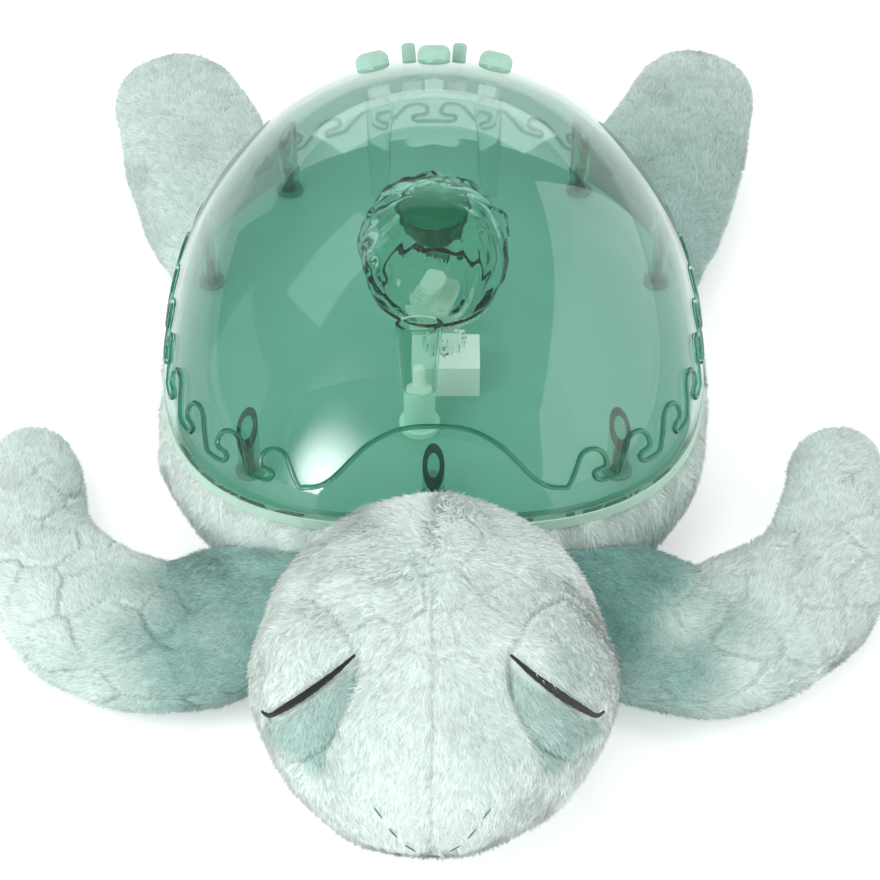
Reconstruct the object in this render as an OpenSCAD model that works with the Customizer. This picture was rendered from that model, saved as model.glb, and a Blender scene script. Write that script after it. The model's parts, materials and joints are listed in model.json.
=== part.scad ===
// Plush sea turtle night light: a stuffed body around a hard module that turns a rippled lens under a
// translucent shell. The turtle faces -Y, +Z is up, and the origin is the bottom centre of its bounding box.

/* [Shell] */
// Half width of the shell at its rim
shell_half_w = 88; // [76:0.5:100]
// Shell length ahead of its widest section
shell_front = 82; // [72:0.5:94]
// Shell length behind its widest section
shell_rear = 106; // [94:0.5:120]
// Height of the shell above its rim
shell_h = 88; // [78:0.5:100]
// Height of the rim above the floor
rim_z = 47; // [44:0.5:56]
// Wall of the shell
shell_wall = 2.4; // [1.8:0.1:3]
// Squareness of the front half of the rim
front_square = 2.9; // [2.2:0.1:3.4]
// Squareness of the rear half of the rim
rear_square = 2.1; // [1.9:0.1:2.6]
// Fullness of the crown
crown_power = 1.85; // [1.7:0.05:2.2]
// How much lower the front flank lies than the sides, as a share of its height at the rim
front_dip = 0.6; // [0.3:0.05:0.7]

/* [Screw bosses] */
// Radius of a screw boss
boss_r = 3.4; // [3:0.1:4]
// Distance of the bosses in from the rim
boss_inset = 9.5; // [8.5:0.5:13]
// Radius of the dark washer at the foot of a boss
washer_r = 4.6; // [4:0.1:5]
// Thickness of that washer
washer_t = 0.8; // [0.5:0.1:1.5]
// Radius of a shell screw
screw_r = 1.5; // [1.2:0.1:1.7]
// Radius of a screw head
screw_head_r = 2.9; // [2.5:0.1:3.2]
// Height of a screw head
screw_head_h = 2; // [1.5:0.1:2.2]
// Thread length of a shell screw inside its boss
screw_grip = 10; // [6:0.5:14]

/* [Tray and deck] */
// Thickness of the pale flange under the shell rim
flange_t = 4; // [3.5:0.1:6]
// How far the flange stands out past the shell rim
flange_over = 0.6; // [0.2:0.1:2]
// Distance of the tub wall in from the shell rim
tub_inset = 17; // [15:0.5:22]
// Wall of the tub
tub_wall = 2.4; // [1.8:0.1:3.5]
// Height of the underside of the tub above the floor
tub_lift = 2; // [1:0.1:4]
// Thickness of the tub floor
floor_t = 2.4; // [2.2:0.1:3]
// Thickness of the deck plate
deck_t = 2.5; // [2:0.1:3.5]

/* [Projector] */
// Distance of the lens axis behind the widest section of the shell
lens_y = 2; // [-2:0.5:6]
// Height of the lens gear above the deck
gear_lift = 16.5; // [15:0.5:22]
// Thickness of the lens gear
gear_t = 5; // [4:0.5:7]
// Tooth module of the gears
gear_module = 0.8; // [0.8:0.1:1]
// Teeth of the lens gear
gear_teeth = 40; // [36:4:44]
// Teeth of the motor pinion
pinion_teeth = 16; // [14:1:20]
// Radius of the spindle that the lens gear turns on
spindle_r = 5; // [3:0.5:7]
// Height of the rippled lens
lens_h = 38; // [30:0.5:46]
// Largest radius of the rippled lens
lens_r = 24; // [21:0.5:27]
// Wall of the rippled lens
lens_wall = 2.2; // [1.6:0.1:3]
// Depth of the ripples
ripple = 1.1; // [0:0.1:1.6]
// Radius of the motor can
motor_r = 6; // [5:0.5:7]
// Wall of the motor housing
housing_wall = 1.6; // [1.2:0.1:2.5]
// Length of the motor housing from side to side
housing_long = 22.6; // [20:0.2:24]

/* [Lamp] */
// Radius of the lamp post
post_r = 5; // [4:0.5:6]
// Height of the lamp post
post_h = 16; // [12:0.5:18]
// Outer radius of the clear lamp collar at its foot
collar_r = 5.5; // [5:0.5:6]
// Outer radius of the lamp collar at its mouth
collar_mouth = 7.5; // [6:0.5:8]
// Wall of the lamp collar
collar_wall = 1.2; // [0.8:0.1:2]
// Length of the lamp collar
collar_len = 22; // [16:0.5:24]
// Lean of the lamp towards the lens
lamp_lean = 24; // [0:1:30]

/* [Buttons] */
// Radius of a large button
key_r = 5.6; // [4.5:0.1:6.5]
// Radius of a small button
small_key_r = 2.4; // [2:0.1:3]
// How far a large button stands out of the shell
key_stand = 4.8; // [3:0.1:6]
// How far a small button stands out of the shell
small_key_stand = 6.4; // [3:0.1:7]
// Travel of a button
key_travel = 1.2; // [0.6:0.1:1.6]
// Width of the retaining flange of a button
key_flange = 1.5; // [1:0.1:2]
// Width of a push switch
switch_w = 6; // [4.5:0.5:7]
// Height of a push switch body
switch_h = 3.5; // [2.5:0.5:5]

/* [Battery bay] */
// Radius of a cell
cell_r = 7.1; // [6.9:0.1:7.3]
// Length of a cell with its nub
cell_len = 50.5; // [48:0.5:52]
// Distance between two cells
cell_pitch = 15; // [14.8:0.1:17]
// Length of a contact spring
spring_len = 5; // [3:0.5:8]
// Distance of the middle of the bay ahead of the widest section of the shell
bay_y = 17; // [15:0.5:22]
// Wall of the bay
bay_wall = 2; // [1.5:0.1:3]

/* [Board and speaker] */
// Width of the main board
board_w = 70; // [60:1:78]
// Depth of the main board
board_d = 44; // [38:1:46]
// Thickness of the main board
board_t = 1.6; // [1:0.1:2]
// Height of the main board above the tub floor
board_lift = 21; // [18:0.5:25]
// Radius of the speaker
speaker_r = 19; // [15:0.5:20]
// Height of the speaker
speaker_h = 14; // [10:0.5:16]
// Distance of the speaker behind the widest section of the shell
speaker_y = 42; // [40:0.5:46]

/* [Plush] */
// Swell of the body past the rim
body_swell = 4; // [0:0.5:8]
// How far the body tucks in at the floor
belly_tuck = 10; // [4:0.5:12]
// Half width of the head
head_half_w = 52; // [44:0.5:60]
// Length of the head ahead of its middle
head_front = 56; // [48:0.5:64]
// Length of the head behind its middle
head_rear = 60; // [58:0.5:66]
// Half height of the head
head_half_h = 43; // [36:0.5:50]
// Distance from the shell front to the middle of the head
head_reach = 56; // [53:0.5:57]
// Swell of the eyelids as a share of the head
eyelid_swell = 0.05; // [0:0.01:0.1]
// Half thickness of a front flipper at its root
front_thick = 18; // [14:0.5:20]
// Half thickness of a rear flipper at its root
rear_thick = 20; // [14:0.5:20]

/* [Clearances] */
// Gap between a stuffed piece and its neighbour
soft_gap = 0.3; // [0.2:0.05:0.6]
// Gap between two hard pieces that only lie near each other
seat_gap = 0.3; // [0.2:0.05:0.5]
// Running gap of a shaft in its bore
run_gap = 0.06; // [0.03:0.01:0.1]
// Gap round a button in the shell
key_gap = 0.3; // [0.2:0.05:0.5]

/* [Hidden] */
$fn = 48;

// Heights
flange_z = rim_z - flange_t;
body_top = flange_z - soft_gap;
floor_top = tub_lift + floor_t;
deck_top = rim_z + deck_t;
boss_foot = deck_top + washer_t;
gear_z = deck_top + gear_lift;
lens_z = gear_z + gear_t;
cut = 1;

// Stations round the rim where the screw bosses stand
boss_angles = [-90, -49, -131, 16, 164, 50, 130];

// Flipper spines from their anchors: sideways, backwards, half width
front_anchor = [shell_half_w - 36, -(shell_front + 10)];
front_spine = [
    [-26, 14, 22], [6, 0, 26], [30, -10, 26], [52, -1, 27], [72, 20, 22], [80, 48, 17], [84, 82, 15]
];
rear_anchor = [shell_half_w - 28, shell_rear - 48];
rear_spine = [[-6, -12, 24], [14, 30, 28], [27, 68, 28], [36, 94, 24], [42, 118, 19]];

module at_shell() {
    translate([0, shell_y, 0]) children();
}

// Rim outline, moved out or in by a distance
function rim_length(s, grow) = (s < 0 ? shell_front : shell_rear) + grow;
function rim_square(s) = s < 0 ? front_square : rear_square;
function rim_point(angle, grow) =
    let (c = cos(angle), s = sin(angle), n = rim_square(s))
    let (r = pow(pow(abs(c), n) + pow(abs(s), n), -1 / n))
    [(shell_half_w + grow) * r * c, rim_length(s, grow) * r * s];
rim_steps = 56;
function rim_outline(grow) = [for (i = [0:rim_steps - 1]) rim_point(360 * i / rim_steps, grow)];

module rim_prism(grow, low, high) {
    translate([0, 0, low]) linear_extrude(high - low) polygon(rim_outline(grow));
}

// A solid from a stack of rings of equal count, each closed by a fan
function ring_walls(rings, count) = [
    for (k = [0:rings - 2])
        for (i = [0:count - 1])
            let (a = k * count + i, b = k * count + (i + 1) % count)
            each [[a, a + count, b], [b, a + count, b + count]]
];
function fan(first, count, hub, up) = [
    for (i = [0:count - 1])
        let (a = first + i, b = first + (i + 1) % count)
        up ? [a, hub, b] : [a, b, hub]
];
module ring_stack(rings, low_hub, high_hub) {
    count = len(rings[0]);
    last = len(rings) * count;
    points = concat([for (ring = rings) each ring], [low_hub, high_hub]);
    walls = ring_walls(len(rings), count);
    ends = concat(fan(0, count, last, false), fan(last - count, count, last + 1, true));
    polyhedron(points, concat(walls, ends));
}

// Shell

crown_steps = 13;
function crown_rho(t) = pow(cos(t), 2 / crown_power);
function flank(angle, rho) = 1 - front_dip * pow(max(0, -sin(angle)), 1.5) * pow(rho, 3);
function crown_rise(angle, rho) = flank(angle, rho) * pow(1 - pow(rho, crown_power), 1 / crown_power);
function crown_ring(inset, t) = [
    for (i = [0:rim_steps - 1])
        let (angle = 360 * i / rim_steps, p = rim_point(angle, -inset), rho = crown_rho(t))
        [p[0] * rho, p[1] * rho, rim_z + (shell_h - inset) * crown_rise(angle, rho)]
];

// Filled shell with its skin moved in, whose foot reaches below the rim by a drop
module dome_fill(inset, drop = 0) {
    skirt = drop > 0 ? [[for (p = rim_outline(-inset)) [p[0], p[1], rim_z - drop]]] : [];
    rings = concat(skirt, [for (k = [0:crown_steps - 1]) crown_ring(inset, 90 * k / crown_steps)]);
    ring_stack(rings, [0, 0, rim_z - drop], [0, 0, rim_z + shell_h - inset]);
}

function rim_share(x, y) =
    let (n = rim_square(y), l = rim_length(y, 0))
    pow(pow(abs(x) / shell_half_w, n) + pow(abs(y) / l, n), 1 / n);
function rim_angle(x, y) = atan2(y / rim_length(y, 0), x / shell_half_w);
function dome_z(x, y) = rim_z + shell_h * crown_rise(rim_angle(x, y), rim_share(x, y));
function dome_normal(x, y) =
    let (h = 0.5)
    let (dx = (dome_z(x + h, y) - dome_z(x - h, y)) / (2 * h))
    let (dy = (dome_z(x, y + h) - dome_z(x, y - h)) / (2 * h))
    [-dx, -dy, 1] / norm([-dx, -dy, 1]);

// Places children on the shell, with +Z out along its normal
module on_dome(place) {
    n = dome_normal(place[0], place[1]);
    translate([place[0], place[1], dome_z(place[0], place[1])])
        rotate([0, acos(n[2]), atan2(n[1], n[0])])
            children();
}

module at_bosses() {
    for (angle = boss_angles)
        translate(rim_point(angle, -boss_inset)) children();
}

module shell_dome() {
    color("mediumseagreen", 0.6) at_shell() difference() {
        dome_fill(0);
        difference() {
            dome_fill(shell_wall, cut);
            at_bosses() translate([0, 0, boss_foot]) cylinder(r = boss_r, h = shell_h);
        }
        at_bosses() translate([0, 0, boss_foot - cut])
            cylinder(r = screw_r + run_gap, h = screw_grip + 2 * cut);
        for (place = large_keys) on_dome(place) key_bore(key_r);
        for (place = small_keys) on_dome(place) key_bore(small_key_r);
    }
}

// Tray, deck and screws

contact_t = 0.5;
bay_len = cell_len + spring_len + 2 * contact_t + 2 * seat_gap;
bay_slack = 1;
bay_depth = 2 * cell_pitch + 2 * cell_r + 2 * seat_gap + bay_slack;
bay_roof = floor_top + 2 * cell_r + 2 * seat_gap;
hinge_r = floor_t / 2 - seat_gap / 2;
hinge_pin_r = hinge_r / 2;
hinge_y = -bay_y - bay_depth / 2 - hinge_r;
hinge_z = tub_lift + floor_t / 2;
hinge_end = 6;
hinge_len = bay_len - 2 * hinge_end;
pin_len = 3;
door_land = 9;
door_back = -bay_y + bay_depth / 2 + door_land;
door_screw_y = door_back - door_land / 2;
door_boss_r = screw_r + 1.7;
door_boss_h = 8;
door_boss_roof = 1;
screw_tip_gap = 2;

module floor_opening() {
    low = hinge_y - hinge_r - seat_gap;
    translate([-bay_len / 2 - seat_gap, low, tub_lift - cut])
        cube([bay_len + 2 * seat_gap, door_back + seat_gap - low, floor_t + cut]);
}

module battery_box() {
    translate([-bay_len / 2 - bay_wall, -bay_y - bay_depth / 2 - bay_wall, floor_top])
        cube([bay_len + 2 * bay_wall, bay_depth + 2 * bay_wall, bay_roof + bay_wall - floor_top]);
}

module battery_space() {
    translate([-bay_len / 2, -bay_y - bay_depth / 2, tub_lift - cut])
        cube([bay_len, bay_depth, bay_roof - tub_lift + cut]);
}

module hinge_pins() {
    reach = (bay_len - hinge_len) / 2 + seat_gap + cut;
    for (side = [-1, 1])
        translate([side * (hinge_len / 2 - pin_len), hinge_y, hinge_z]) rotate([0, 90 * side, 0])
            cylinder(r = hinge_pin_r, h = pin_len + reach);
}

module grille_holes() {
    hole_r = speaker_r / 12;
    ring_gap = speaker_r / 3.2;
    for (ring = [1, 2])
        for (i = [0:6 * ring - 1])
            translate([0, speaker_y, tub_lift - cut])
                rotate(60 * i / ring)
                    translate([ring_gap * ring, 0, 0])
                        cylinder(r = hole_r, h = floor_t + 2 * cut);
}

corner_inset = 4;
board_corner = [board_w / 2 - corner_inset, board_d / 2 - corner_inset];
module at_board_corners() {
    for (x = [-1, 1])
        for (y = [-1, 1])
            translate([x * board_corner[0], speaker_y + y * board_corner[1], 0]) children();
}
standoff_r = 3;
board_screw_r = 1;
board_screw_grip = 6;
pilot_depth = board_screw_grip + 2;
board_z = floor_top + board_lift;

module base_tray() {
    color("palegoldenrod") at_shell() difference() {
        union() {
            difference() {
                union() {
                    rim_prism(flange_over, flange_z, rim_z);
                    rim_prism(-tub_inset, tub_lift, rim_z);
                }
                rim_prism(-tub_inset - tub_wall, floor_top, rim_z + cut);
                floor_opening();
                grille_holes();
            }
            difference() {
                battery_box();
                battery_space();
            }
            hinge_pins();
            translate([0, door_screw_y, floor_top]) cylinder(r = door_boss_r, h = door_boss_h);
            at_board_corners() translate([0, 0, floor_top - cut / 2])
                cylinder(r = standoff_r, h = board_lift + cut / 2);
            translate([0, speaker_y, floor_top - cut / 2]) speaker_ring();
        }
        at_bosses() {
            translate([0, 0, flange_z - cut]) cylinder(r = screw_r + seat_gap, h = flange_t + 2 * cut);
            translate([0, 0, flange_z - cut]) cylinder(r = screw_head_r + seat_gap, h = screw_head_h + cut);
        }
        translate([0, door_screw_y, tub_lift])
            cylinder(r = screw_r + seat_gap, h = floor_t + door_boss_h - door_boss_roof);
        at_board_corners() translate([0, 0, board_z - pilot_depth])
            cylinder(r = board_screw_r + run_gap, h = pilot_depth + cut);
    }
}

module speaker_ring() {
    ring_wall = 1.6;
    ring_h = 4;
    difference() {
        cylinder(r = speaker_r + seat_gap + ring_wall, h = ring_h);
        translate([0, 0, -cut]) cylinder(r = speaker_r + seat_gap, h = ring_h + 2 * cut);
    }
}

module deck_plate() {
    wire_slot = [16, 5];
    color("honeydew") at_shell() difference() {
        rim_prism(-shell_wall - seat_gap, rim_z, deck_top);
        at_bosses() translate([0, 0, rim_z - cut]) cylinder(r = screw_r + seat_gap, h = deck_t + 2 * cut);
        translate([-wire_slot[0] / 2, speaker_y - wire_slot[1] / 2, rim_z - cut])
            cube([wire_slot[0], wire_slot[1], deck_t + 2 * cut]);
    }
}

module boss_washers() {
    color("darkslategray") at_shell() at_bosses() translate([0, 0, deck_top]) difference() {
        cylinder(r = washer_r, h = washer_t);
        translate([0, 0, -cut]) cylinder(r = screw_r + seat_gap, h = washer_t + 2 * cut);
    }
}

// A pan-head screw that points up, with its head's top face on the plane it seats on
module screw(r, head_r, head_h, shank) {
    slot = head_h / 2;
    difference() {
        union() {
            translate([0, 0, -head_h]) cylinder(r = head_r, h = head_h);
            cylinder(r = r, h = shank);
        }
        for (turn = [0, 90])
            rotate(turn) translate([-head_r * 0.6, -slot / 2, -head_h - cut])
                cube([head_r * 1.2, slot, slot + cut]);
    }
}

module shell_screws() {
    seat = flange_z + screw_head_h;
    color("silver") at_shell() at_bosses() translate([0, 0, seat])
        screw(screw_r, screw_head_r, screw_head_h, boss_foot + screw_grip - seat);
}

// Battery door and cells

module battery_door() {
    door_front = hinge_y + hinge_r + seat_gap;
    pin_bore = pin_len + seat_gap;
    color("honeydew") at_shell() difference() {
        union() {
            translate([-bay_len / 2, door_front, tub_lift]) cube([bay_len, door_back - door_front, floor_t]);
            translate([-hinge_len / 2, hinge_y, hinge_z - hinge_r])
                cube([hinge_len, 2 * hinge_r, 2 * hinge_r]);
            translate([-hinge_len / 2, hinge_y, hinge_z]) rotate([0, 90, 0])
                cylinder(r = hinge_r, h = hinge_len);
        }
        for (side = [-1, 1])
            translate([side * (hinge_len / 2 - pin_bore / 2 + cut / 2), hinge_y, hinge_z]) rotate([0, 90, 0])
                cylinder(r = hinge_pin_r + run_gap, h = pin_bore + cut, center = true);
        translate([0, door_screw_y, tub_lift - cut]) {
            cylinder(r = screw_r + run_gap, h = floor_t + 2 * cut);
            cylinder(r = screw_head_r + seat_gap, h = floor_t / 2 + cut);
        }
    }
}

module door_screw() {
    head_h = floor_t / 2;
    color("silver") at_shell() translate([0, door_screw_y, tub_lift + head_h])
        screw(screw_r, screw_head_r, head_h, floor_t - head_h + door_boss_h - door_boss_roof - screw_tip_gap);
}

cell_z = floor_top + seat_gap + cell_r;
nub_len = 1.2;
function cell_side(i) = i % 2 == 0 ? 1 : -1;
module at_cells() {
    for (i = [-1:1])
        translate([0, -bay_y + i * cell_pitch, cell_z])
            rotate(cell_side(i) > 0 ? 0 : 180) children();
}
cell_low = -bay_len / 2 + contact_t + spring_len + seat_gap;

module aa_cells() {
    nub_r = 2.7;
    color("dimgray") at_shell() at_cells() translate([cell_low, 0, 0]) rotate([0, 90, 0]) {
        cylinder(r = cell_r, h = cell_len - nub_len);
        cylinder(r = nub_r, h = cell_len);
    }
}

module cell_contacts() {
    spring_r = 3.4;
    plate = 11;
    color("silver") at_shell() at_cells() {
        translate([-bay_len / 2, -plate / 2, -plate / 2]) cube([contact_t, plate, plate]);
        translate([-bay_len / 2 + contact_t, 0, 0]) rotate([0, 90, 0]) cylinder(r = spring_r, h = spring_len);
        translate([bay_len / 2 - contact_t, -plate / 2, -plate / 2]) cube([contact_t, plate, plate]);
    }
}

// Board and speaker

module main_board() {
    color("seagreen") at_shell() translate([0, 0, board_z]) difference() {
        translate([-board_w / 2, speaker_y - board_d / 2, 0]) cube([board_w, board_d, board_t]);
        at_board_corners() translate([0, 0, -cut])
            cylinder(r = board_screw_r + run_gap, h = board_t + 2 * cut);
    }
}

// Chip, regulator, two capacitors and a plug, placed as shares of the board
module board_parts() {
    unit = board_w / 35;
    deep = board_d / 22;
    color("black") at_shell() translate([0, speaker_y, board_z + board_t]) {
        translate([-6 * unit, -3.5 * deep, 0]) cube([7 * unit, 7 * deep, unit]);
        translate([5 * unit, -5 * deep, 0]) cube([4 * unit, 3 * deep, unit]);
        translate([7.5 * unit, 3 * deep, 0]) cylinder(r = 2 * unit, h = 4.5 * unit);
        translate([-12 * unit, deep, 0]) cylinder(r = 1.5 * unit, h = 3.5 * unit);
        translate([-4 * unit, -9 * deep, 0]) cube([8 * unit, 2.5 * deep, 3 * unit]);
    }
}

module board_screws() {
    head_r = 2;
    head_h = 1.4;
    color("silver") at_shell() at_board_corners() translate([0, 0, board_z + board_t]) rotate([180, 0, 0])
        screw(board_screw_r, head_r, head_h, board_t + board_screw_grip);
}

speaker_frame = 2;
module speaker() {
    rim_h = 3;
    throat = 1.2;
    magnet_r = speaker_r / 2;
    seat = speaker_h - 5;
    inner = speaker_r - speaker_frame;
    color("dimgray") at_shell() translate([0, speaker_y, floor_top]) rotate_extrude() polygon([
        [0, speaker_h], [magnet_r, speaker_h], [magnet_r, seat], [speaker_r, rim_h], [speaker_r, 0],
        [inner, 0], [inner, rim_h - throat], [magnet_r, seat - throat], [0, seat - throat]
    ]);
}

module speaker_cone() {
    edge_r = speaker_r - speaker_frame;
    hub_r = speaker_r / 4;
    skin = 0.8;
    low = 0.2;
    rise = 3.2;
    color("black") at_shell() translate([0, speaker_y, floor_top]) rotate_extrude() polygon([
        [0, rise], [hub_r, rise], [edge_r, low], [edge_r, low + skin], [hub_r, rise + skin], [0, rise + skin]
    ]);
}

// Projector

pressure = 25;
addendum = 0.9;
dedendum = 1.2;
backlash = 0.12;
flank_steps = 3;
function pitch_r(teeth) = gear_module * teeth / 2;
function base_r(teeth) = pitch_r(teeth) * cos(pressure);
function roll(a) = tan(a) * 180 / PI - a;
function half_tooth(teeth, r) =
    let (a = r > base_r(teeth) ? acos(base_r(teeth) / r) : 0)
    let (play = backlash / pitch_r(teeth) * 180 / PI)
    90 / teeth - play + roll(pressure) - roll(a);
function polar(r, a) = [r * cos(a), r * sin(a)];
function tooth(teeth, centre) =
    let (tip = pitch_r(teeth) + addendum * gear_module, root = pitch_r(teeth) - dedendum * gear_module)
    let (low = max(root, base_r(teeth)))
    let (radii = [for (k = [0:flank_steps]) low + (tip - low) * k / flank_steps])
    concat(
        [polar(root, centre - half_tooth(teeth, low))],
        [for (r = radii) polar(r, centre - half_tooth(teeth, r))],
        [for (k = [flank_steps:-1:0]) polar(radii[k], centre + half_tooth(teeth, radii[k]))],
        [polar(root, centre + half_tooth(teeth, low))]
    );
function gear_outline(teeth, start) =
    [for (i = [0:teeth - 1]) each tooth(teeth, start + 360 * i / teeth)];

mesh_angle = -9 * 360 / gear_teeth;
centre_distance = pitch_r(gear_teeth) + pitch_r(pinion_teeth);
pinion_place = [0, lens_y] + polar(centre_distance, mesh_angle);
pinion_start = mesh_angle + 180 - 180 / pinion_teeth;
spindle_shoulder = 4;
spindle_top = lens_z + 2;

// The gear has a plate on top that the lens stands on
plate_t = 1.4;
module lens_gear() {
    color("ivory") at_shell() translate([0, lens_y, gear_z]) difference() {
        union() {
            linear_extrude(gear_t) polygon(gear_outline(gear_teeth, 0));
            translate([0, 0, gear_t - plate_t]) cylinder(r = lens_r * lens_foot, h = plate_t);
        }
        translate([0, 0, -cut]) cylinder(r = spindle_r + run_gap, h = gear_t + 2 * cut);
    }
}

module lens_spindle() {
    color("ivory") at_shell() translate([0, lens_y, 0]) {
        translate([0, 0, deck_top]) cylinder(r = spindle_r + spindle_shoulder, h = gear_lift - seat_gap);
        translate([0, 0, deck_top]) cylinder(r = spindle_r, h = spindle_top - deck_top);
    }
}

// Rippled bell: a foot that stands on the gear, a swell and a closed crown
lens_turns = 36;
lens_rows = 9;
lens_foot = 0.86;
lens_waist = 0.45;
lens_close = 0.6;
function bell_share(v) =
    v < lens_waist
    ? lens_foot + (1 - lens_foot) * sin(90 * v / lens_waist)
    : sqrt(1 - pow((v - lens_waist) / lens_close, 2));
function bell_wave(angle, v) =
    ripple * min(1, 4 * v) * (sin(6 * angle) * cos(540 * v) + 0.5 * sin(9 * angle));
function bell_ring(v, inset, wave) = [
    for (i = [0:lens_turns - 1])
        let (angle = 360 * i / lens_turns)
        let (r = lens_r * bell_share(v) - inset + (wave ? bell_wave(angle, v) : 0))
        [r * cos(angle), r * sin(angle), v * (lens_h - inset)]
];

// One skin runs down the inside and then up the outside
module ripple_lens() {
    inset = lens_wall + ripple;
    inner = [for (k = [lens_rows - 1:-1:0]) bell_ring(k / lens_rows, inset, false)];
    outer = [for (k = [0:lens_rows]) bell_ring(k / lens_rows, 0, true)];
    color("white", 0.5) at_shell() translate([0, lens_y, lens_z])
        ring_stack(concat(inner, outer), [0, 0, lens_h - inset], [0, 0, lens_h + 1]);
}

pinion_gap = 4;
motor_top = gear_lift - pinion_gap;
shaft_r = 1;
shaft_sink = 4;

module motor() {
    color("silver") at_shell() translate([pinion_place[0], pinion_place[1], deck_top]) difference() {
        cylinder(r = motor_r, h = motor_top - housing_wall - seat_gap);
        translate([0, 0, motor_top - housing_wall - seat_gap - shaft_sink - seat_gap])
            cylinder(r = shaft_r + run_gap, h = shaft_sink + 2 * cut);
    }
}

plate_gap = 0.6;
module motor_pinion() {
    pinion_t = gear_t - plate_t - plate_gap;
    shaft_low = motor_top - housing_wall - seat_gap - shaft_sink;
    color("ivory") at_shell() translate([pinion_place[0], pinion_place[1], 0]) {
        translate([0, 0, gear_z]) linear_extrude(pinion_t) polygon(gear_outline(pinion_teeth, pinion_start));
        translate([0, 0, deck_top + shaft_low])
            cylinder(r = shaft_r, h = gear_z - deck_top - shaft_low + cut);
    }
}

module motor_housing() {
    inner = 2 * (motor_r + seat_gap);
    outer = inner + 2 * housing_wall;
    color("white") at_shell() translate([pinion_place[0], pinion_place[1], deck_top]) difference() {
        translate([-housing_long / 2, -outer / 2, 0]) cube([housing_long, outer, motor_top]);
        translate([housing_wall - housing_long / 2, -inner / 2, -cut])
            cube([housing_long - 2 * housing_wall, inner, motor_top - housing_wall + cut]);
        cylinder(r = 2 * shaft_r, h = motor_top + cut);
    }
}

// Lamp: a leaning collar on a post ahead of the lens

lamp_x = -4.5;
lamp_ahead = 19;
lamp_y = lens_y - lens_r - lamp_ahead;
led_board_t = 1.2;
post_foot_t = 2;
post_flare = 1.5;

module at_lamp() {
    translate([lamp_x, lamp_y, deck_top + post_h]) rotate([-lamp_lean, 0, 0]) children();
}

module lamp_post() {
    color("palegreen") at_shell() {
        translate([lamp_x, lamp_y, deck_top]) cylinder(r = post_r + post_flare, h = post_foot_t);
        difference() {
            translate([lamp_x, lamp_y, deck_top]) cylinder(r = post_r, h = post_h + post_r);
            at_lamp() translate([-2 * post_r, -2 * post_r, 0]) cube([4 * post_r, 4 * post_r, 4 * post_r]);
        }
    }
}

module lamp_collar() {
    color("white", 0.5) at_shell() at_lamp() difference() {
        cylinder(r1 = collar_r, r2 = collar_mouth, h = collar_len);
        translate([0, 0, -cut])
            cylinder(r1 = collar_r - collar_wall, r2 = collar_mouth - collar_wall, h = collar_len + 2 * cut);
    }
}

module led_board() {
    color("white") at_shell() at_lamp() cylinder(r = collar_r - collar_wall - seat_gap, h = led_board_t);
}

module led_lens() {
    bulb_r = (collar_r - collar_wall) / 2;
    bulb_h = 2.6 * bulb_r;
    color("lightyellow") at_shell() at_lamp() translate([0, 0, led_board_t]) {
        cylinder(r = bulb_r, h = bulb_h);
        translate([0, 0, bulb_h]) sphere(r = bulb_r);
    }
}

// Buttons and their switches

key_row = shell_rear - 37.5;
key_span = 20.3;
key_arc = 1.5;
small_span = 8.3;
small_row = key_row + 9.5;
large_keys = [[-key_span, key_row], [0, key_row + key_arc], [key_span, key_row]];
small_keys = [[-small_span, small_row], [small_span, small_row]];
dome_sag = 0.9;
flange_drop = shell_wall + dome_sag;
flange_h = 1.2;
key_play = 0.2;
plunger_drop = flange_drop + flange_h + key_travel + key_play;
plunger_h = 1;
pad_drop = plunger_drop + plunger_h + switch_h;
pad_r = 4.6;
pad_t = 2;
key_leg = 6;

module key_bore(r) {
    translate([0, 0, -3 * shell_wall]) cylinder(r = r + key_gap, h = 6 * shell_wall);
}

module key(r, stand) {
    edge = r * 0.45;
    color("aquamarine") rotate_extrude() polygon(concat(
        [[0, -flange_drop - flange_h], [r + key_flange, -flange_drop - flange_h]],
        [[r + key_flange, -flange_drop]],
        [[r, -flange_drop], [r, stand - edge]],
        [for (a = [15:15:75]) [r - edge + edge * cos(a), stand - edge + edge * sin(a)]],
        [[r - edge, stand], [0, stand + r * 0.08]]
    ));
}

module large_button(i) {
    at_shell() on_dome(large_keys[i]) key(key_r, key_stand);
}
module small_button(i) {
    at_shell() on_dome(small_keys[i]) key(small_key_r, small_key_stand);
}
module left_button() {
    large_button(0);
}
module centre_button() {
    large_button(1);
}
module right_button() {
    large_button(2);
}
module small_left_button() {
    small_button(0);
}
module small_right_button() {
    small_button(1);
}

module tact_switches() {
    plunger_r = 1.7;
    color("black") at_shell() for (place = concat(large_keys, small_keys)) on_dome(place) {
        translate([-switch_w / 2, -switch_w / 2, -pad_drop]) cube([switch_w, switch_w, switch_h]);
        translate([0, 0, -plunger_drop - plunger_h]) cylinder(r = plunger_r, h = plunger_h);
    }
}

module key_pad(place) {
    on_dome(place) translate([0, 0, -pad_drop - pad_t]) cylinder(r = pad_r, h = pad_t, $fn = 24);
}

module key_bracket() {
    leg_r = 3;
    leg_y = key_row + key_leg;
    color("palegreen") at_shell() {
        for (i = [0:1]) hull() {
            key_pad(large_keys[i]);
            key_pad(large_keys[i + 1]);
        }
        for (i = [0:1]) hull() {
            key_pad(large_keys[1]);
            key_pad(small_keys[i]);
        }
        for (i = [0, 2]) hull() {
            key_pad(large_keys[i]);
            translate([large_keys[i][0], leg_y, deck_top]) cylinder(r = leg_r, h = pad_t, $fn = 24);
        }
    }
}

// Stuffed pieces

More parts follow.
